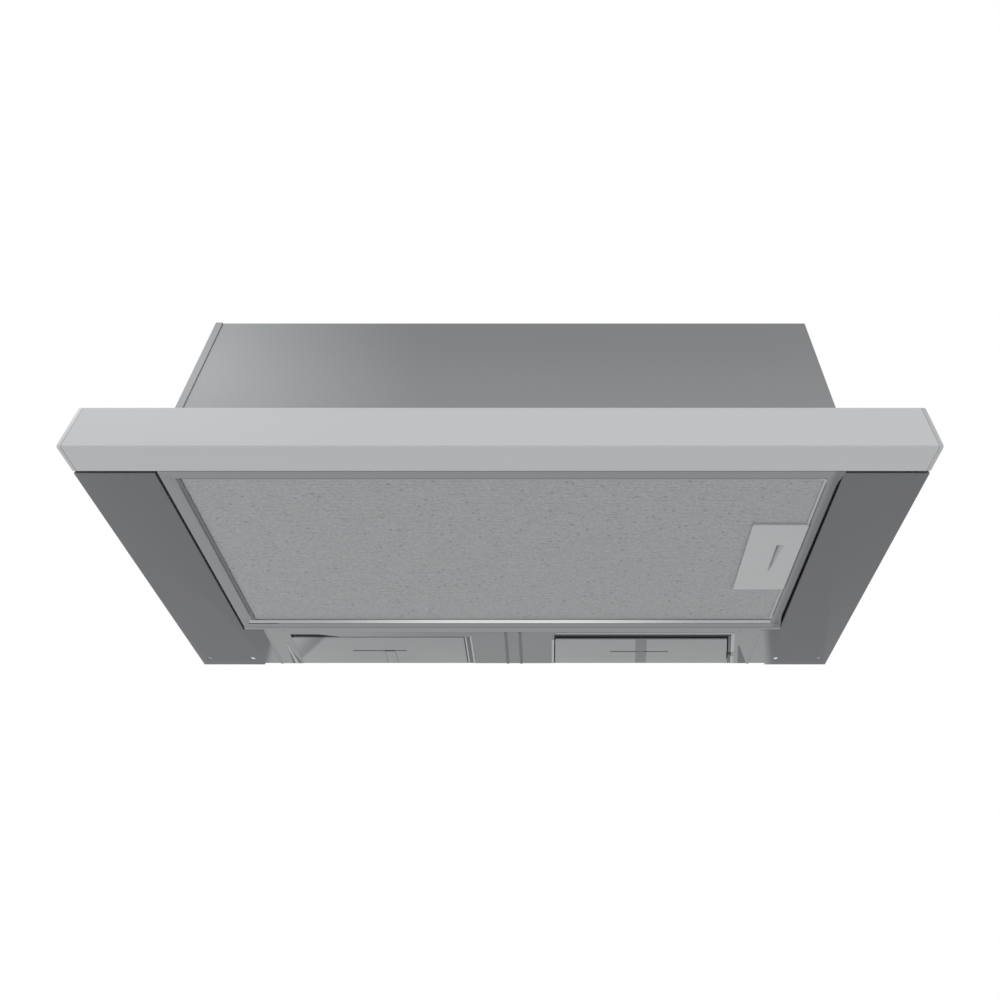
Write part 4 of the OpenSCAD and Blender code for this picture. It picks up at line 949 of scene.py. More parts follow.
@dataclass
class Runners:
    """Guides on the wings, rails on the drawer and their pads."""

    web: float = 1.0
    rivet_y: Point = (-95.0, 10.0, 120.0)
    rivet_z: float = 20.0
    rivet: Fastener = Fastener(1.8, 0.35, 0.1, cross=False)

    def build(self) -> None:
        """Rounds the rolled channels and the pads, and rivets the guides to the wings."""
        soften("guide_left", "guide_right")
        soften("drawer_rail_left", "drawer_rail_right", "rail_glides", body="drawer")
        wall = span("guide_right")[1][0] - self.web
        for side in Side:
            places = [(side.value * wall, y, self.rivet_z) for y in self.rivet_y]
            self.rivet.fasten("guide_rivets_" + side.word, places, Axis.X, -side.value)


class Lip(Enum):
    """Cross-section of one side of the drawer's frame."""

    FLAT = "runs in level"
    STEPPED = "rises by a step half way in"
    BEADED = "rises by the step, to seat the bead"
    ROLLED = "half circle"


# The latch's bolt: its lowest and highest y and z.
BOLT: tuple[Pair, Pair] = ((-30.0, 5.6), (-12.0, 8.6))


def bolt_hole(x0: float, x1: float, gap: float, corner: float = 0.5) -> Shell:
    """Hole for the latch's bolt from one place along x to another: the bolt's section, wider all round by a gap."""
    (y0, z0), (y1, z1) = BOLT
    return Shell().slab((x0, y0 - gap, z0 - gap), (x1, y1 + gap, z1 + gap), corner, 0.0, Axis.X)


@dataclass
class Drawer:
    """Fascia, end caps and the pressed frame that carries the cassette."""

    body: str = "drawer"
    corners: tuple[float, ...] = (2.0, 2.0, 2.0, 0.7)
    wall: float = 1.5
    end_gap: float = 0.15
    end_edge: float = 0.2
    cap_edge: float = 0.6
    plug_gap: float = 0.1
    plug_wall: float = 2.0
    plug_ends: Pair = (-8.0, 0.3)
    open_low: Pair = (-231.0, -114.5)
    open_high: Pair = (230.2, 70.0)
    bend_r: float = 0.8
    sheet: float = 1.0
    lip_step: float = 1.0
    blend_steps: tuple[float, ...] = (0.0, 1.5, 3.0, 4.5, 6.5, 9.0, 12.0)
    pin_hole_r: float = 1.65
    bead_y: float = 72.4
    bead_half: float = 2.4
    bead_rise: float = 0.98
    bead_x: Pair = (-234.4, 230.8)
    # A dark slit at the rear lip's left end: painted shade.
    slit: Slab = ((-240.2, 74.6, 0.3), (-209.0, 75.5, 0.9), 0.2, 0.0)
    buffer: tuple[Point, Point] = ((243.0, -123.4, 1.0), (299.2, -121.9, 8.0))

    def section(self, gap: float, corners: float | tuple[float, ...]) -> np.ndarray:
        """Outline across the fascia's profile: its box drawn in by the gap, with round corners."""
        low, high = span("fascia")
        return rounded_outline((low[1] + gap, low[2] + gap), (high[1] - gap, high[2] - gap), corners, 9)

    def fascia(self) -> None:
        """Carries the profile's outer and inner outline along the fascia, a hair short of the end caps."""
        low, high = span("fascia")
        outer, inner = self.section(0.0, self.corners), self.section(self.wall, 0.4)
        small = inset(outer, self.end_edge)
        x0, x1 = low[0] + self.end_gap, high[0] - self.end_gap
        stack = [(inner, x0), (small, x0), (outer, x0 + self.end_edge), (outer, x1 - self.end_edge), (small, x1),
                 (inner, x1)]
        fit(Shell().stack(stack, Axis.X, loop=True).build("fascia_profile"), node="fascia", body=self.body)

    def end_caps(self) -> None:
        """Moulds each cap: a plate with round rims over the profile's end, and a hollow plug inside it."""
        root = span("fascia")[1][0]
        outer, plug = self.section(0.0, self.corners), self.section(self.wall + self.plug_gap, 2.2)
        core = inset(plug, self.plug_wall)
        inner, joint = self.plug_ends
        for side in Side:
            node = "end_cap_" + side.word
            end = max(abs(corner[0]) for corner in span(node))
            shell = Shell().prism(outer, side.value * root, side.value * end, Axis.X, self.cap_edge)
            stack = [(flat, side.value * (root + x)) for flat, x in ((plug, inner), (plug, joint), (core, joint),
                                                                     (core, inner))]
            shell.stack(stack, Axis.X, loop=True)
            fit(shell.build("fascia_cap_" + side.word), node=node, body=self.body)

    def lip(self, kind: Lip, width: float) -> np.ndarray:
        """Cross-section of one side of the frame, as distance outward from the opening and height.

        A flat lip runs in at height 0 and bends up into the wall on a quarter circle. A stepped lip rises by the step
        half way in, and so does a beaded one. A rolled lip is a half circle: width/2 (1 + cos a) out, width/2
        (1 - sin a) up.

        Args:
            kind: form of the lip.
            width: width of the lip.

        Returns:
            The closed section: its underside from the outer edge to the wall's top, and back along its upper side.
        """
        if kind is Lip.ROLLED:
            angle = np.linspace(0, np.pi, 14)
            under = width / 2 * np.stack([1 + np.cos(angle), 1 - np.sin(angle)], axis=-1)
        else:
            share = np.array([1, 0.82, 0.66, 0.56, 0.52, 0.48, 0.4, self.bend_r / width])
            rise = np.array([0, 0, 0, 0.02, 0.2, 0.8, 1, 1]) * self.lip_step
            if kind is Lip.FLAT:
                share, rise = np.linspace(1, self.bend_r / width, 8), np.zeros(8)
            turn = np.linspace(0, np.pi / 2, 7)
            bend = self.bend_r * np.stack([1 - np.sin(turn), 1 - np.cos(turn)], axis=-1)
            bend[:, 1] += rise[-1]
            under = np.concatenate([np.stack([share * width, rise], axis=-1)[:-1], bend])
        top = span("drawer_frame")[1][2]
        under = np.concatenate([under, [[0.0, under[-1, 1] + 2.0], [0.0, top]]])
        along = tangent(under)
        upper = under + self.sheet * np.stack([along[:, 1], -along[:, 0]], axis=-1)
        upper[-1] = (self.sheet, top)
        upper[-2, 0] = self.sheet
        return np.concatenate([under, upper[::-1]])

    def frame_panel(self) -> None:
        """Carries the four lips round the opening: front, right, rear and left.

        At a corner each section's point lies at the crossing of its two sides. The front and rear lips keep their
        height there, and along the left and right ones the height runs to their own over the blend length, as
        s^2 (3 - 2s).
        """
        low, high = span("drawer_frame")
        (left, front), (right, rear) = self.open_low, self.open_high
        sides = ((1, front, -1, Lip.STEPPED, front - low[1]), (0, right, 1, Lip.ROLLED, high[0] - right),
                 (1, rear, 1, Lip.BEADED, high[1] - rear), (0, left, -1, Lip.FLAT, left - low[0]))
        lips = [self.lip(kind, width) for *_, kind, width in sides]
        lines = [edge + way * lip[:, 0] for (_, edge, way, *_), lip in zip(sides, lips)]
        stack = []
        for number, (across, *_) in enumerate(sides):
            before, after = number - 1, (number + 1) % 4
            heading = np.sign(np.mean(lines[after]) - np.mean(lines[before]))
            for other, way, reach in ((before, heading, self.blend_steps), (after, -heading, self.blend_steps[:0:-1])):
                corner_z = lips[number if across == 1 else other][:, 1]
                for step in reach:
                    ring = np.empty((len(corner_z), 3))
                    ring[:, across] = lines[number]
                    ring[:, 1 - across] = lines[other] + way * step
                    ring[:, 2] = corner_z + eased(step / self.blend_steps[-1]) * (lips[number][:, 1] - corner_z)
                    stack.append(ring)
        panel = Shell().rings(np.stack(stack), loop=True).build("drawer_frame_pressed")
        cutter = bolt_hole(229.5, 234.5, 0.6, 0.6)
        for y in (front, rear):
            cutter.lathe([(self.pin_hole_r, y - 3.0), (self.pin_hole_r, y + 3.0)], (PIVOT[0], 0, PIVOT[1]), Axis.Y,
                         count=24)
        # The frame takes the coat with the rolled side's painted shade.
        fit(carve(panel, cutter), node="drawer_frame", finish=ROLL_SHADE_PAINT, body=self.body)
        # The ledge between the flat lip and the mesh is painted darker: painted shade.
        ledge = Shell().slab((left - 0.8, front - 0.2, 0.9), (left + 2.7, rear + 0.2, 1.4), 0.2, 0.1, Axis.Y)
        fit(ledge.build("drawer_frame_ledge"), "frame_steel", finish=CREASE_SHADE, body=self.body)

    def bead(self) -> None:
        """Lays the bright bead along the rear lip's inner half, a painted highlight: height = 1 - rise cos a, across
        half sin a.
        """
        angle = np.linspace(-np.pi / 2, np.pi / 2, 13)
        under = np.stack([self.bead_y + self.bead_half * np.sin(angle), 1.0 - self.bead_rise * np.cos(angle)], axis=-1)
        seat = [(self.bead_y + self.bead_half, 1.3), (self.bead_y - self.bead_half, 1.5)]
        bead = Shell().prism(np.concatenate([under, seat]), *self.bead_x, Axis.X, 0.5)
        fit(bead.build("rear_lip_bead"), "frame_steel", finish=BEAD_HIGHLIGHT, body=self.body)
        # The slit is a dark slab: painted shade.
        fit(Shell().slab(*self.slit).build("rear_lip_slit"), "frame_steel", finish=SLOT_SHADE, body=self.body)

    def buffers(self) -> None:
        """Glues black buffers behind the fascia, where it meets the wings."""
        for side in Side:
            strip = Shell().slab(*side.block(*self.buffer), 0.4, 0.3, Axis.X)
            fit(strip.build("fascia_buffer_" + side.word), "grommet_rubber", body=self.body)

    def build(self) -> None:
        """Builds the drawer's front and frame."""
        self.fascia()
        self.end_caps()
        self.frame_panel()
        self.bead()
        self.buffers()


@dataclass(frozen=True)
class MeshSheet:
    """Expanded metal: rows of zigzag strands that meet at their bonds."""

    long_way: float = 6.0
    short_way: float = 3.2
    strand: float = 1.57
    gauge: float = 0.4
    bond: float = 1.8
    lean: float = 0.015
    jitter: float = 0.07

    def rows(self, low: Pair, high: Pair, height: float, first: int, seed: int) -> Shell:
        """Makes the rows between two corners.

        Row j lies at (j + 1/2) short_way/2 and swings by short_way/4 - strand/2 to the side (-1)^(j+k) at its k-th
        bond, where it also rises or dips by the lean, as slit and stretched sheet does.

        Args:
            low: lowest x and y.
            high: highest x and y.
            height: middle of the sheet's thickness.
            first: number of the first row, which keeps the zigzag in step with rows before it.
            seed: seed of the small irregularities.

        Returns:
            A shell with the strands.
        """
        pitch = self.short_way / 2
        count = int(round((high[1] - low[1]) / pitch))
        bonds = int((high[0] - low[0] - 1.0) // (self.long_way / 2)) + 1
        row = np.arange(count)[:, None] + first
        knot = np.arange(bonds)[None, :]
        side = np.where((row + knot) % 2 == 0, 1.0, -1.0)
        swing = side * (self.short_way / 4 - self.strand / 2)
        shift = np.random.default_rng(seed).uniform(-self.jitter, self.jitter, (3, *side.shape))
        x = low[0] + knot * self.long_way / 2 + shift[0] * 2
        y = low[1] + (row - first + 0.5) * pitch + swing + shift[1]
        z = height + side * self.lean + shift[2] * 0.3
        ends = np.stack([x - self.bond / 2, x + self.bond / 2], axis=-1).reshape(count, -1)
        ends = np.clip(ends, low[0], high[0])
        ends[:, 0], ends[:, -1] = low[0], high[0]
        y, z = np.repeat(y, 2, axis=1), np.repeat(z, 2, axis=1)
        corner = np.array([(-1, -1), (1, -1), (1, 1), (-1, 1)]) / 2
        rings = np.empty((*ends.shape, 4, 3))
        rings[..., 0] = ends[..., None]
        rings[..., 1] = y[..., None] + corner[:, 0] * self.strand
        rings[..., 2] = z[..., None] + corner[:, 1] * self.gauge + corner[:, 0] * self.lean
        return Shell().rings(rings)


FINE_SHEET = MeshSheet()
COARSE_SHEET = MeshSheet(10.0, 5.0, 1.3)


def wire_mat(shell: Shell, low: Point, high: Point, seed: int, pitch: float = 3.0) -> None:
    """Adds a mat whose two faces rise and fall.

    Each ring runs round one cut across the mat: under it from left to right and back over it. Its height is the sum of
    nine sine waves of random direction, with lengths from 6 to 24 mm, and a face dips by 0.5 mm at most.

    Args:
        shell: shell that takes the mat.
        low: lowest corner.
        high: highest corner.
        seed: seed of the waves.
        pitch: distance of the points.
    """
    draw = np.random.default_rng(seed)
    waves, depth = 9, 0.5
    x, y = (np.linspace(low[i], high[i], max(3, int((high[i] - low[i]) / pitch))) for i in (0, 1))
    grid_y, grid_x = np.meshgrid(y, x, indexing="ij")
    faces = []
    for level, way in ((low[2], 1.0), (high[2], -1.0)):
        length, turn, phase = (draw.uniform(least, most, waves) for least, most in ((6, 24), (0, 2 * np.pi),
                                                                                    (0, 2 * np.pi)))
        wave = sum(np.sin(2 * np.pi * (grid_x * np.cos(t) + grid_y * np.sin(t)) / l + p)
                   for l, t, p in zip(length, turn, phase)) / waves
        dip = depth * (0.5 + 0.5 * np.clip(wave * 2, -1, 1))
        faces.append(np.stack([grid_x, grid_y, level + way * dip], axis=-1))
    shell.rings(np.concatenate([faces[0], faces[1][:, ::-1]], axis=1))


@dataclass
class Cassette:
    """Grease filter: rim, two expanded sheets round a wire mat, and the latch."""

    body: str = "filter"
    bay: Point = (207.9, -42.1, 0.1)
    bay_right: float = 228.0
    bay_z: Pair = (0.9, 9.5)
    bay_wall: float = 0.7
    rim_low: Pair = (-229.0, -113.5)
    rim_high: Pair = (229.0, 69.0)
    rim_foot: float = 0.6
    rim_lip: float = 3.0
    sheet: float = 0.8
    tuck: float = 0.3
    lower_sink: float = 1.35
    pin_r: Pair = (1.0, 1.3)
    pin_y: Pair = (2.8, 0.9)
    plate_right: float = 1.6
    plate_top: float = 2.2
    plate_hollow: Slab = ((209.0, -41.0, 1.0), (228.0, -1.0, 3.0), 0.5, 0.0)
    window: tuple[float, float, float, float] = (211.3, -39.0, 217.2, -6.0)
    window_slope: float = 1.6
    window_flare: Pair = (5.0, 4.0)
    scoop_x: Pair = (209.6, 223.1)
    scoop_rise: Pair = (211.0, 212.2)
    scoop_reach: Pair = (212.4, -0.129)
    scoop_fade: Pair = (1.5, 11.0)
    scoop_margin: float = 1.2
    scoop_z: Pair = (1.12, 3.0)
    bolt_x: float = 222.6

    def layers(self) -> None:
        """Builds the sheets and the mat, cut back round the latch's bay."""
        left, front, rear = self.bay
        for word, sheet, sink, seed in (("lower", FINE_SHEET, self.lower_sink, 11), ("upper", COARSE_SHEET, 0.0, 12)):
            node = "filter_mesh_" + word
            low, high = span(node)
            middle = (low[2] + high[2]) / 2 - sink
            x0, y0, x1, y3 = *(low[:2] - self.tuck), *(high[:2] + self.tuck)
            pitch = sheet.short_way / 2
            before, inside = int((front - y0) // pitch), math.ceil((rear - front) / pitch) + 1
            y1, y2 = y0 + before * pitch, y0 + (before + inside) * pitch
            parts = (("front", (x0, y0), (x1, y1), 0), ("middle", (x0, y1), (left, y2), before),
                     ("rear", (x0, y2), (x1, y3), before + inside))
            for number, (place, start, end, first) in enumerate(parts):
                rows = sheet.rows(start, end, middle, first, seed + 20 * number)
                fit(rows.build("expanded_sheet_" + word + "_" + place, 60.0), "mesh_aluminium",
                    "" if number else node, body=self.body)
        (x0, y0, z0), (x1, y1, z1) = span("filter_wadding")
        mat = Shell()
        for seed, start, end in ((31, (x0, y0), (left, y1)), (32, (left, y0), (x1, front)),
                                 (33, (left, rear), (x1, y1))):
            wire_mat(mat, (*start, z0), (*end, z1), seed)
        fit(mat.build("wire_mat"), node="filter_wadding", body=self.body)

    def frame(self) -> None:
        """Folds the rim: its section is carried round the cassette, inset by the section's distance from the edge.

        The foot flares, three times as far at the right below the rolled lip, and not at the hinged left side, which
        swings close to the drawer's wall.
        """
        low, high = np.array(self.rim_low), np.array(self.rim_high)
        bottom, top = span("filter_frame")[0][2], span("filter_frame")[1][2]
        path = smooth_path([(-self.rim_foot, bottom), (0.0, bottom + 1.0), (0.0, top), (self.rim_lip, top)], 0.4)
        rings = [(rounded_outline(low + (max(d, 0.0), d), high - (d + 2 * min(d, 0.0), d), max(0.25, 1.6 - d)), z)
                 for d, z in strip_outline(path, -self.sheet)]
        rim = carve(Shell().stack(rings, Axis.Z, loop=True).build("filter_rim"), bolt_hole(227.0, 230.5, 0.3))
        # The rim takes a painted highlight along its right side.
        fit(rim, "mesh_aluminium", "filter_frame", RIM_HIGHLIGHT_METAL, self.body)
        pins = Shell()
        small, full = self.pin_r
        out, within = self.pin_y
        for edge, way in ((low[1], 1.0), (high[1], -1.0)):
            start, end, taper = edge - way * out, edge + way * within, way * 0.3
            pins.lathe([(small, start), (full, start + taper), (full, end - taper), (small, end)],
                       (PIVOT[0], 0, PIVOT[1]), Axis.Y, count=20)
        fit(pins.build("filter_pins"), "filter_aluminium", body=self.body)

    def plate(self) -> None:
        """Moulds the latch's plate with its window, which widens downwards, and the bay's walls above it."""
        low, high = span("latch_housing")
        plate = Shell().slab(low, (high[0] + self.plate_right, high[1], self.plate_top), 1.4, 0.25).build("latch_plate")
        carve(plate, Shell().slab(*self.plate_hollow))
        x0, y0, x1, y1 = self.window
        flare = []
        for z in (-0.2, 1.0, 1.2):
            out, back = (1.0 - z) * self.window_flare[0], y1 + (1.0 - z) * self.window_flare[1]
            flare.append((np.array([(x0, y0), (x1 + out, y0), (x0 + self.window_slope + out, back), (x0, back)]), z))
        fit(carve(plate, Shell().stack(flare, Axis.Z)), node="latch_housing", body=self.body)
        left, front, rear = self.bay
        outer = rounded_outline((left, front), (self.bay_right, rear - 0.1), 0.8)
        inner = inset(outer, self.bay_wall)
        low_z, high_z = self.bay_z
        walls = Shell().stack([(outer, low_z), (outer, high_z), (inner, high_z), (inner, low_z)], Axis.Z, loop=True)
        fit(carve(walls.build("latch_bay"), bolt_hole(226.5, 229.5, 0.6)), "latch_plastic", body=self.body)

    def slider(self) -> None:
        """Moulds the slider behind the window, with its bolt.

        Its underside is z = base + depth p(x, y) q(y): p rises steeply at the scoop's left edge and runs out to the
        right, sooner at the rear; q rises over the first fade at the front and runs out over the second at the rear.
        """
        low, high = span("latch_slider")
        y = np.linspace(low[1] + 0.1, high[1] - 0.1, 79)
        grid_y, grid_x = np.meshgrid(y, np.linspace(*self.scoop_x, 70), indexing="ij")
        foot, crest = self.scoop_rise
        reach = self.scoop_reach[0] + self.scoop_reach[1] * grid_y
        across = eased((grid_x - foot) / (crest - foot)) * np.clip((reach - grid_x) / (reach - self.window[0]), 0, 1)
        along = (eased((grid_y - low[1] - self.scoop_margin) / self.scoop_fade[0])
                 * eased((high[1] - self.scoop_margin - grid_y) / self.scoop_fade[1]))
        base, depth = self.scoop_z
        under = np.stack([grid_x, grid_y, base + depth * across * along], axis=-1)
        over = np.stack([grid_x, grid_y, np.full_like(grid_x, high[2])], axis=-1)
        slider = Shell().rings(np.concatenate([under, over[:, ::-1]], axis=1))
        slider.slab((self.bolt_x, *BOLT[0]), (high[0], *BOLT[1]), 0.5, 0.3, Axis.X)
        # The scoop's deep left part is painted dark: painted shade.
        fit(slider.build("latch_pull"), node="latch_slider", finish=LATCH_SCOOP_SHADE, body="latch")

    def build(self) -> None:
        """Builds the cassette and its latch."""
        self.frame()
        self.layers()
        self.plate()
        self.slider()


@dataclass
class LampCover:
    """Hinged frosted cover of a lamp, with its slot and finger tab or strip."""

    side: Side
    low: Pair
    high: Pair
    slot: Point
    tab: Pair
    flare: float = 0.0
    plate_z: Pair = (0.4, 2.0)
    slot_half: float = 0.9
    tab_y: Pair = (-1.4, 1.7)
    groove: float = 0.35
    pin: Pair = (142.0, 3.2)
    rib_pitch: float = 2.0
    rib_rear: float = 119.5
    shade: Pair = (123.5, 125.2)
    strip_z: Pair = (0.3, 0.6)

    @property
    def node(self) -> str:
        """Name of the cover's CAD node and body."""
        return "lamp_cover_" + self.side.word

    def sheared(self, outline: np.ndarray, flare: float, least_x: float) -> np.ndarray:
        """Moves corners outward along x, by the flare times the share of the cover's depth.

        Args:
            outline: corners, one row each.
            flare: how far a corner at the cover's rear edge moves.
            least_x: corners past this x move, the others stay.

        Returns:
            The moved corners.
        """
        share = (outline[:, 1] - self.low[1]) / (self.high[1] - self.low[1])
        shift = np.where(outline[:, 0] > least_x, flare * share, 0.0)
        return outline + np.stack([shift, np.zeros_like(shift)], axis=-1)

    def through(self, x0: float, x1: float, y0: float, y1: float, corner: float) -> Shell:
        """Upright block that cuts right through the cover."""
        return Shell().slab((x0, y0, -1.0), (x1, y1, 3.0), corner, 0.0)

    def plate(self) -> None:
        """Cuts the slot in a plate with round edges, and on the left cover the tab and its two grooves."""
        bottom, top = self.plate_z
        outline = self.sheared(rounded_outline(self.low, self.high, 1.2, 4), self.flare, 100.0)
        plate = Shell().prism(outline, bottom, top, Axis.Z, 0.4).build(self.node + "_plate")
        x0, x1, y = self.slot
        carve(plate, self.through(x0, x1, y - self.slot_half, y + self.slot_half, 0.4))
        if self.side is Side.LEFT:
            carve(plate, self.through(*self.tab, y + self.tab_y[0], y + self.tab_y[1], 0.3))
            grooves = Shell()
            for x in self.tab:
                grooves.slab((x - 0.3, y + 0.5, -1.0), (x + 0.3, self.high[1] - 0.6, bottom + self.groove), 0.2, 0.0)
            carve(plate, grooves)
        # The left cover takes the painted streak of shade.
        fit(plate, node=self.node, finish=FROSTED_LEFT_SHADE if self.side is Side.LEFT else FROSTED, body=self.node)

    def hinge(self) -> None:
        """Adds an ear and a pin at each end, and the ribs across the cover's upper side."""
        centre = (0, *self.pin)
        low, high = span(self.node)
        hinge = Shell()
        for x, end in ((self.low[0], low[0]), (self.high[0] + 0.9 * self.flare, high[0])):
            way = math.copysign(1.0, x - end)
            hinge.lathe([(1.6, x), (2.1, x + way * 0.4), (2.1, x + way * 2.1), (1.6, x + way * 2.5)], centre, Axis.X,
                        count=24)
            hinge.lathe([(0.7, end), (1.0, end + way * 0.4), (1.0, x + way * 0.5)], centre, Axis.X, count=20)
        for rib in np.arange(self.low[1] + 3.0, self.rib_rear, self.rib_pitch):
            wedge = np.array([(rib - 0.8, 1.95), (rib + 0.8, 1.95), (rib, 2.7)])
            hinge.prism(wedge, self.low[0] + 4.0, self.high[0] - 4.0, Axis.X)
        fit(hinge.build(self.node + "_hinge"), "cover_plastic", body=self.node)

    def strip(self) -> None:
        """Backs the slot with a dark slab, on the right cover with a dark spot beside it too, as painted shade; and on
        the right cover lays the darker finger strip across its whole depth.
        """
        x0, x1, y = self.slot
        right = self.side is Side.RIGHT
        shade_backing = Shell().slab((x0 - 1, y - 1.9, 2.02), (x1 + 1, y + 2.2, 2.4), 0.4, 0.1)
        if right:
            shade_backing.slab((self.shade[0], y - 0.9, 0.15), (self.shade[1], y + 0.9, 2.1), 0.3, 0.1)
        fit(shade_backing.build(self.node + "_backing"), "cover_plastic", finish=SLOT_SHADE, body=self.node)
        if right:
            outline = rounded_outline((self.tab[0], self.low[1] + 0.2), (self.tab[1], self.high[1] - 0.2), 0.4, 4)
            strip = Shell().prism(self.sheared(outline, self.flare * 0.5, 0.0), *self.strip_z, Axis.Z, 0.1)
            strip = carve(strip.build(self.node + "_strip"), self.through(x0, x1, y - 0.4, y + 0.4, 0.3))
            fit(strip, "cover_plastic", finish=STRIP_SHADE, body=self.node)

    def build(self) -> None:
        """Builds the cover."""
        self.plate()
        self.hinge()
        self.strip()


@dataclass
class Lamps:
    """Rear strip, lamp panel, trays, sockets, bulbs and hinged covers."""

    axis: Pair = (120.5, 20.0)
    strip_end: float = 241.9
    strip_waist: float = 206.0
    strip_step_y: float = 84.6
    strip_top: float = 1.0
    panel_end: float = 225.4
    ramp_x: float = 222.4
    crease_x: Pair = (-6.5, 6.5)
    crease_half: float = 1.3
    crease_y: float = 90.5
    # Black slabs behind the windows' front edges and in a notch, where the lamps' insides show only shade: painted
    # shade.
    seals: tuple[Slab, ...] = (
        ((38.2, 94.6, 2.6), (203.8, 106.5, 3.4), 0.6, 0.2),
        ((-203.8, 94.6, 2.1), (-38.2, 100.5, 2.9), 0.6, 0.2),
        ((202.5, 127.0, 0.9), (205.6, 131.0, 1.3), 0.5, 0.1),
    )
    # Ledges in the darker crease coat: painted shade.
    ledges: tuple[Slab, ...] = (
        ((38.2, 93.4, 1.2), (201.4, 96.2, 1.9), 0.6, 0.2),
        ((-45.1, 98.0, 1.1), (-37.6, 146.8, 1.6), 0.6, 0.2),
    )
    # Patches in the darker crease coat beside the windows, where shade falls: painted shade.
    shade_patches: tuple[tuple[Pair, ...], ...] = (
        ((209.6, 114.0), (211.0, 114.0), (222.3, 144.0), (221.6, 146.6), (215.2, 146.6)),
        ((-211.4, 122.0), (-210.0, 122.0), (-205.4, 146.6), (-214.4, 146.6)),
    )
    # A sill in the darker crease coat: painted shade.
    sill: tuple[Pair, ...] = ((198.0, 97.0), (201.2, 97.0), (208.5, 146.6), (205.3, 146.6))
    trims: tuple[Slab, ...] = (
        ((39.5, 91.6, 0.5), (200.0, 92.7, 1.0), 0.5, 0.2),
        ((35.6, 103.0, 0.5), (37.9, 146.6, 1.0), 0.8, 0.2),
        ((-39.6, 96.5, 0.5), (-38.0, 146.6, 1.3), 0.6, 0.2),
        ((-44.4, 98.6, 0.7), (-43.0, 146.6, 1.3), 0.6, 0.2),
    )
    # A pale trim laid along a light streak beside the left cover's end: painted highlight.
    glint: tuple[Pair, ...] = ((-211.2, 110.0), (-210.2, 110.0), (-208.2, 146.6), (-211.2, 146.6))
    brackets: tuple[Pair, Pair] = ((92.0, 124.5), (132.5, 146.6))
    bracket_x: Pair = (200.0, 203.4)
    bracket_lean: float = 0.15
    socket_x: float = 38.0
    socket_r: float = 12.5
    bulb_end: float = 140.0
    bulb_r: float = 11.0
    thread: Point = (6.0, 6.55, 0.4)
    thread_x: Pair = (46.5, 16.0)

    def strip(self) -> None:
        """Cuts the strip that the shut drawer meets, narrower at its ends, with its upstand."""
        low, high = span("rear_rail")
        end, waist, rear = self.strip_end, self.strip_waist, self.strip_step_y
        outline = np.array([(-end, low[1]), (end, low[1]), (end, rear), (waist, rear), (waist, high[1]),
                            (-waist, high[1]), (-waist, rear), (-end, rear)])
        shell = Shell().prism(outline, low[2], self.strip_top, Axis.Z, 0.3)
        shell.slab((-waist + 1, high[1] - 1.0, 0.7), (waist - 1, high[1], high[2]), 0.4, 0.0)
        fit(shell.build("rear_strip"), node="rear_rail")

    def panel(self) -> None:
        """Cuts the panel round the windows, with a ramp down at each end, and presses its two creases."""
        (_, front, _), (_, rear, top) = span("lamp_panel")
        end = self.panel_end
        outline = np.array([(-end, 85), (-206.4, 85), (-206.4, front + 0.3), (206.4, front + 0.3), (206.4, 85),
                            (end, 85), (end, rear), (208.4, rear), (200.5, 94), (38, 94), (38, rear), (-38, rear),
                            (-38, 98.4), (-158, 98.4), (-178, 94), (-203.7, 94), (-203.7, rear), (-end, rear)])
        cut = Shell().prism(outline, top - 1.0, top, Axis.Z, 0.15)
        for side in Side:
            ramp = np.array([(self.ramp_x, 0.9), (end, 0.1), (end, 1.1), (self.ramp_x, 1.1)]) * (side.value, 1.0)
            cut.prism(ramp, 85.0, rear, Axis.Y)
        fit(cut.build("lamp_panel_cut"), node="lamp_panel", finish=LAMP_PAINT_LIT_ENDS)
        creases = Shell()
        angle = np.linspace(0, np.pi, 9)
        for x in self.crease_x:
            depth = np.minimum(0.82 - 0.6 * np.sin(angle), 0.8)
            bead = np.stack([x + self.crease_half * np.cos(angle), depth], axis=-1)
            lid = [(x - self.crease_half, 1.2), (x + self.crease_half, 1.2)]
            creases.prism(np.concatenate([bead, lid]), self.crease_y, rear, Axis.Y)
        # The creases are painted darker: painted shade.
        fit(creases.build("lamp_panel_creases"), "panel_steel", finish=CREASE_SHADE)

    def windows(self) -> None:
        """Puts black seals behind the windows' front edges and darker ledges, patches and a sill beside them, all
        painted shade, and clips and brackets round, with a pale trim as a painted highlight.
        """
        fit(Shell().slabs(self.seals).build("window_seals"), "grommet_rubber")
        ledges = Shell().slabs(self.ledges)
        for corners in self.shade_patches:
            ledges.prism(np.array(corners), 0.72, 1.0, Axis.Z)
        ledges.prism(np.array(self.sill), 1.2, 1.7, Axis.Z)
        fit(ledges.build("window_ledges"), "panel_steel", finish=CREASE_SHADE)
        trims = Shell().slabs(self.trims).prism(np.array(self.glint), 0.5, 1.0, Axis.Z, 0.1)
        x0, x1 = self.bracket_x
        for start, stop in self.brackets:
            bracket = np.array([(x0, start), (x1, start), (x1, stop), (x0, stop)])
            bracket[:, 0] += (bracket[:, 1] - 95.0) * self.bracket_lean
            trims.prism(bracket, 0.5, 1.0, Axis.Z, 0.12)
        fit(trims.build("window_trims"), "screw_steel", finish=CLIP)

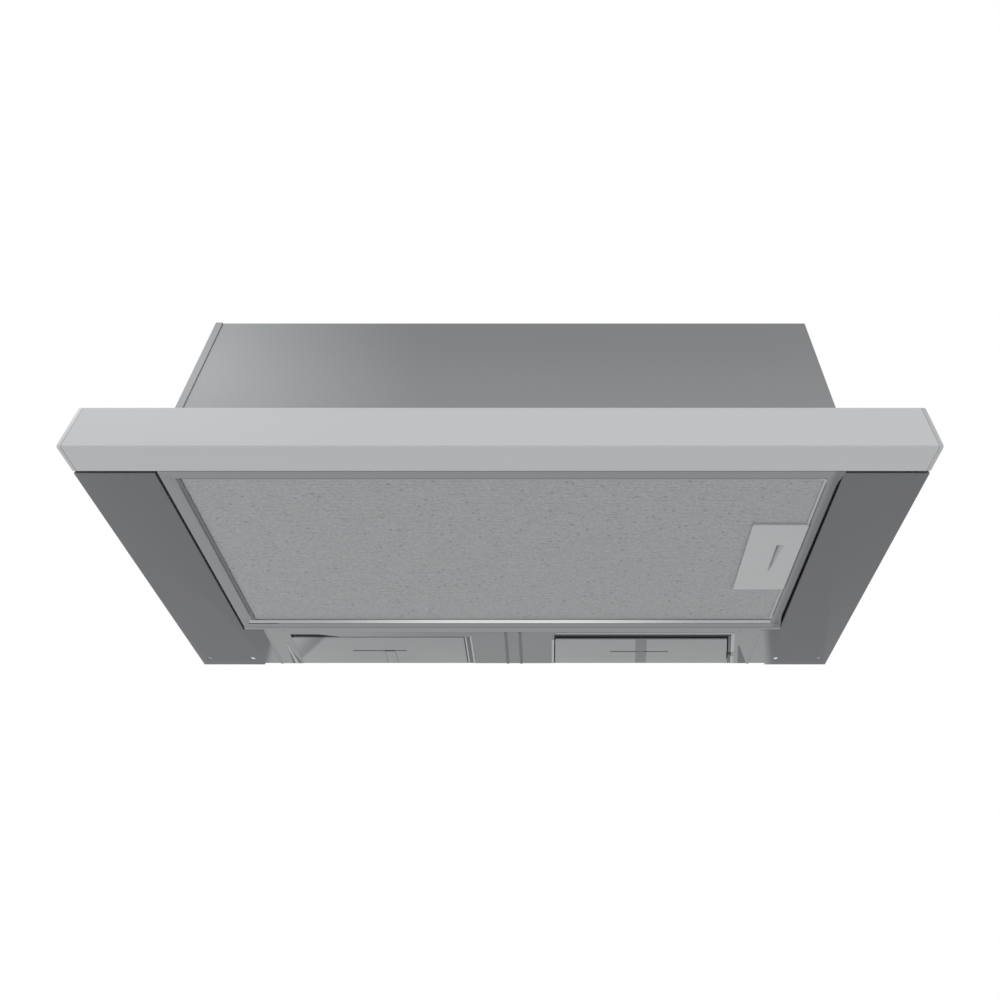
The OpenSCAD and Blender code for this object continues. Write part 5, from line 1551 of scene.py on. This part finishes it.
    def socket(self, side: Side) -> None:
        """Turns the porcelain socket: ribs of half a millimetre round a body with a deep mouth.

        Args:
            side: the lamp's side.
        """
        x0, r = self.socket_x, self.socket_r
        outside = [(r - 1.0, x0), (r, x0 + 1.0), (r, x0 + 6.0)]
        for x in x0 + 7.0 + 3.5 * np.arange(4):
            outside += [(r - 1.1, x), (r - 1.1, x + 1.4), (r, x + 1.9), (r, x + 3.0)]
        outside += [(r, x0 + 26.6), (r - 0.9, x0 + 28.0)]
        inside = [(8.3, x0 + 28.0), (7.3, x0 + 27.0), (7.2, x0 + 7.0), (1.0, x0 + 6.0)]
        shell = Shell().lathe([(1.0, x0)] + outside + inside, (0, *self.axis), Axis.X, way=side.value)
        fit(shell.build("lamp_socket_" + side.word), node="lamp_holder_" + side.word)

    def bulb(self, side: Side) -> None:
        """Turns the bulb: a threaded cap, a short neck and a tube that ends in a half ball.

        Args:
            side: the lamp's side.
        """
        centre = (0, *self.axis)
        turns, mean, depth = self.thread
        start, length = self.thread_x
        angle = np.linspace(0, 2 * np.pi * turns, 61)
        thread = [(mean + depth * math.cos(a), start + length * a / angle[-1]) for a in angle]
        cap = [(1.5, 44.0), (3.0, 44.2), (4.6, 45.2), (6.2, 46.0)] + thread + [(6.9, 63.5), (6.9, 66.0), (5.0, 66.4)]
        metal = Shell().lathe(cap, centre, Axis.X, way=side.value)
        fit(metal.build("lamp_cap_" + side.word), "screw_steel")
        end, r = self.bulb_end, self.bulb_r
        neck = [(6.0, 65.6), (7.2, 66.2), (8.2, 67.4), (9.8, 69.5), (10.7, 72.0), (r, 75.0), (r, 100.0), (r, end - r)]
        dome = [(r * math.cos(a), end - r + r * math.sin(a)) for a in np.linspace(0.15, 1.53, 10)]
        glass = Shell().lathe(neck + dome, centre, Axis.X, way=side.value)
        fit(glass.build("lamp_glass_" + side.word), node="lamp_bulb_" + side.word)

    def build(self) -> None:
        """Builds the panel and both lamps."""
        self.strip()
        self.panel()
        soften("lamp_tray_left", "lamp_tray_right")
        self.windows()
        for side in Side:
            self.socket(side)
            self.bulb(side)
        LampCover(Side.LEFT, (-203.5, 99.3), (-45.4, 145.4), (-151.6, -100.7, 122.4), (-121.6, -111.8)).build()
        LampCover(Side.RIGHT, (38.9, 102.4), (197.5, 145.4), (90.7, 145.4, 124.0), (113.0, 123.3), 6.4).build()


@dataclass
class InnerFilter:
    """Fixed filter below the inlet window."""

    mesh_rise: float = 0.8
    mat_rise: float = 1.6
    clip_x: Pair = (-107.5, 107.5)
    clip_half: float = 9.0
    clip_gauge: float = 0.7

    def layers(self) -> None:
        """Lays an expanded sheet under a wire mat."""
        low, high = span("inner_filter_mesh")
        sheet = COARSE_SHEET.rows(low[:2], high[:2], low[2] + self.mesh_rise, 0, 21)
        fit(sheet.build("inner_expanded_sheet", 60.0), node="inner_filter_mesh")
        mat = Shell()
        wire_mat(mat, (low[0], low[1], low[2] + self.mat_rise), high, 34, 4.0)
        fit(mat.build("inner_wire_mat"), "wadding_aluminium")

    def clips(self) -> None:
        """Bends each clip from a strip: down the rim's side and under the rim."""
        low, high = span("inner_filter_clips")
        foot = low[2] + 0.1
        shell = Shell()
        for x in self.clip_x:
            for edge, way in ((low[1], 1.0), (high[1], -1.0)):
                path = smooth_path([(edge + way * 0.05, high[2]), (edge + way * 0.05, foot), (edge + way * 3.4, foot),
                                    (edge + way * 4.6, foot)], 0.9)
                shell.prism(strip_outline(path, way * self.clip_gauge), x - self.clip_half, x + self.clip_half, Axis.X)
        fit(shell.build("inner_filter_springs"), node="inner_filter_clips")

    def build(self) -> None:
        """Builds the rim, the layers and the spring clips."""
        soften("inner_filter_frame")
        self.layers()
        self.clips()


@dataclass
class Blower:
    """Casing, motor and wheel, about one axis along x."""

    axis: Pair = (-38.5006, 115.0)
    tongue_r: float = 51.5
    tongue_deg: float = 60.0
    growth: float = 0.062
    casing_wall: float = 1.4
    flange: float = 3.2
    flange_half: float = 1.6
    casing_screw: Fastener = Fastener(1.5, 0.4, 0.5, 0.9, 0.4, 0.5)
    casing_screw_at: tuple[int, ...] = (4, 16, 28, 40, 52)
    casing_screw_out: float = 1.8
    stack_r: float = 28.0
    stack_x: float = 10.0
    sheets: int = 9
    sheet_pitch: float = 5.4
    motor_nose: float = 3.0
    motor_screw: Fastener = Fastener(2.4, 0.5, 0.9, 1.5, 0.6, 0.8)
    motor_circle: float = 17.0
    motor_seat: float = 0.6
    hub_screw: Fastener = Fastener(1.8, 0.2, 0.3, 1.1, 0.5, 0.5)
    hub_x: float = 7.0
    hub_r: float = 8.8

    def casing(self) -> None:
        """Rounds the casing's halves and adds the flange round their joint.

        The flange follows the casing's spiral: radius = tongue radius times e to the growth times the angle past the
        tongue, plus the wall.
        """
        soften("scroll_left", "scroll_right", width=0.4)
        angle = np.radians(np.linspace(self.tongue_deg + 6, 358, 60))
        spiral = self.tongue_r * np.exp(self.growth * (angle - math.radians(self.tongue_deg))) + self.casing_wall
        ray = np.stack([np.cos(angle), np.sin(angle)], axis=-1)
        path = np.array(self.axis) + spiral[:, None] * ray
        flange = Shell().prism(strip_outline(path, -self.flange), -self.flange_half, self.flange_half, Axis.X)
        fit(flange.build("scroll_flange"), "casing_plastic")
        places = [(self.flange_half, *(path[i] + self.casing_screw_out * ray[i])) for i in self.casing_screw_at]
        self.casing_screw.fasten("scroll_screws", places, Axis.X)

    def motor(self) -> None:
        """Turns the motor: end shields with a stepped rim and a stack of sheets between them."""
        low, high = span("motor_case")
        r, x0, x1 = self.stack_r, low[0], high[0] - self.motor_nose
        line = [(4.2, x0), (20.0, x0), (23.2, x0 + 0.8), (24.0, x0 + 2.0), (24.0, x0 + 7.0), (26.8, x0 + 8.0)]
        for x in x0 + self.stack_x + self.sheet_pitch * np.arange(self.sheets):
            line += [(r, x), (r, x + 4.2), (r - 0.7, x + 4.5), (r - 0.7, x + 5.1)]
        line += [(26.8, x1 - 8.0), (24.0, x1 - 7.0), (24.0, x1 - 2.0), (23.2, x1 - 0.8), (11.0, x1), (10.0, x1 + 0.6),
                 (10.0, high[0] - 0.6), (9.2, high[0]), (4.2, high[0])]
        shell = Shell().lathe(line, (0, *self.axis), Axis.X, loop=True, count=64)
        fit(shell.build("motor_turned"), node="motor_case")
        soften("motor_bracket", "motor_grommets")
        places = [(x0 + self.motor_seat, *(np.array(self.axis) + spot)) for spot in bolt_circle(self.motor_circle)]
        self.motor_screw.fasten("motor_screws", places, Axis.X, -1.0)

    def wheel(self) -> None:
        """Dresses the wheel's disc, rings and shaft, and puts the clamping screw in the hub."""
        soften("impeller_disc", "impeller_rings", "motor_shaft", width=0.25, body="impeller")
        place = (self.hub_x, self.axis[0], self.axis[1] + self.hub_r)
        self.hub_screw.fasten("hub_screw", [place], Axis.Z, body="impeller")

    def build(self) -> None:
        """Builds the blower."""
        self.casing()
        self.motor()
        self.wheel()


@dataclass
class Outlet:
    """Duct collar with its damper flaps."""

    centre: Pair = (0.0, 10.0)
    screw: Fastener = Fastener(2.6, 0.7, 0.6, 1.6, 0.6, 0.8)
    screw_circle: float = 63.7
    flange_top: float = 182.5
    front_ribs: Point = (-34.0, -4.0, 26.0)
    rear_ribs: Point = (-26.0, 4.0, 34.0)
    rib_half: float = 0.8
    rib_z: Pair = (190.3, 192.0)
    rib_start: float = 6.0
    rib_circle: float = 54.0

    def ribs(self, word: str, way: float, places: Point) -> None:
        """Ribs a flap, each rib from near the pin to the circle: y = sqrt(r^2 - x^2).

        Args:
            word: "front" or "rear", as the flap's node and body have it.
            way: -1 towards the front, 1 towards the rear.
            places: x of each rib.
        """
        shell = Shell()
        for x in places:
            reach = math.sqrt(self.rib_circle**2 - x * x)
            start, end = sorted(self.centre[1] + way * y for y in (self.rib_start, reach))
            shell.slab((x - self.rib_half, start, self.rib_z[0]), (x + self.rib_half, end, self.rib_z[1]), 0.5, 0.3)
        fit(shell.build("flap_ribs_" + word), SLOT_OF_NODE["damper_flap_" + word], body="damper_" + word)

    def build(self) -> None:
        """Rounds the collar's rims, screws its flange down and ribs the flaps."""
        soften("outlet_spigot", width=0.4)
        soften("damper_flap_front", width=0.25, body="damper_front")
        soften("damper_flap_rear", width=0.25, body="damper_rear")
        soften("damper_pin", width=0.2)
        places = [(*spot, self.flange_top) for spot in bolt_circle(self.screw_circle) + self.centre]
        self.screw.fasten("collar_screws", places, Axis.Z)
        self.ribs("front", -1.0, self.front_ribs)
        self.ribs("rear", 1.0, self.rear_ribs)


@dataclass
class Electrics:
    """Capacitor, terminal box, cable gland and switches."""

    can_r: float = 15.0
    can_stud: float = 3.0
    gland_bore: float = 4.3
    gland_points: int = 96
    knurls: int = 24
    knurl_depth: float = 0.03
    box_margin: float = 6.0
    box_seat: float = 0.2
    box_screw: Fastener = Fastener(2.2, 0.4, 0.5, 1.4, 0.6, 0.7)

    def capacitor(self) -> None:
        """Turns the can: a rolled bead near its top, a crimped rim and a threaded stud with its nut."""
        low, high = span("capacitor")
        x, y = (low[:2] + high[:2]) / 2
        bottom, top, r = low[2], high[2] - self.can_stud, self.can_r
        line = [(1.0, bottom), (12.5, bottom), (14.4, bottom + 0.6), (r, bottom + 2.0), (r, top - 9.0),
                (14.1, top - 8.2), (14.1, top - 7.4), (r, top - 6.6), (r, top - 1.0), (14.3, top), (13.2, top),
                (13.0, top - 1.0), (5.6, top - 1.0), (5.6, high[2] - 0.4), (4.8, high[2]), (1.0, high[2])]
        fit(Shell().lathe(line, (x, y, 0), Axis.Z).build("capacitor_can"), node="capacitor")

    def gland(self) -> None:
        """Turns the gland, with a knurled nut: radius = nut radius (1 + depth cos(knurls a))."""
        low, high = span("cable_gland")
        middle = (low[:2] + high[:2]) / 2
        bore, count = self.gland_bore, self.gland_points
        line = [(bore, low[2]), (7.2, low[2]), (8.0, low[2] + 0.8), (8.0, 180.0), (10.8, 180.0), (10.8, 181.2),
                (10.2, 181.6), (10.2, 184.4), (9.4, 185.0), (8.6, 186.2), (7.0, 189.2), (6.2, high[2]),
                (5.0, high[2]), (bore, high[2] - 0.8)]
        shell = Shell().lathe(line, (*middle, 0), Axis.Z, loop=True, count=count)
        nut = shell.points[0].reshape(len(line), count, 3)[6:8, :, :2]
        swell = 1 + self.knurl_depth * np.cos(self.knurls * np.arange(count) * 2 * np.pi / count)
        nut[:] = middle + (nut - middle) * swell[None, :, None]
        fit(shell.build("gland_knurled"), node="cable_gland")

    def build(self) -> None:
        """Builds the electrics."""
        self.capacitor()
        self.gland()
        soften("terminal_box", width=0.5)
        soften("switch_block", width=0.4)
        soften("light_slider", body="light_switch")
        soften("speed_slider", body="speed_switch")
        low, high = span("terminal_box")
        inward = self.box_margin
        places = [(x, y, low[2] + self.box_seat) for x in (low[0] + inward, high[0] - inward)
                  for y in (low[1] + inward, high[1] - inward)]
        self.box_screw.fasten("terminal_screws", places, Axis.Z, -1.0)


def dress_nodes() -> None:
    """Gives every CAD node that still shows its slot's finish."""
    for name, node in frame["nodes"].items():
        finish = FINISHES[SLOT_OF_NODE[name]]
        node.data.materials.clear()
        node.data.materials.append(finish.material())
        if not node.hide_render:
            LOG.info("%s: CAD node, %s", name, finish.title)


def main() -> None:
    """Builds the hood in order."""
    logging.basicConfig(level=logging.INFO, format="%(message)s")
    for part in (Stage(), Casing(), Runners(), Drawer(), Cassette(), Lamps(), InnerFilter(), Blower(), Outlet(),
                 Electrics()):
        LOG.info("building %s", type(part).__name__)
        part.build()
    dress_nodes()


if __name__ == "__main__":
    main()
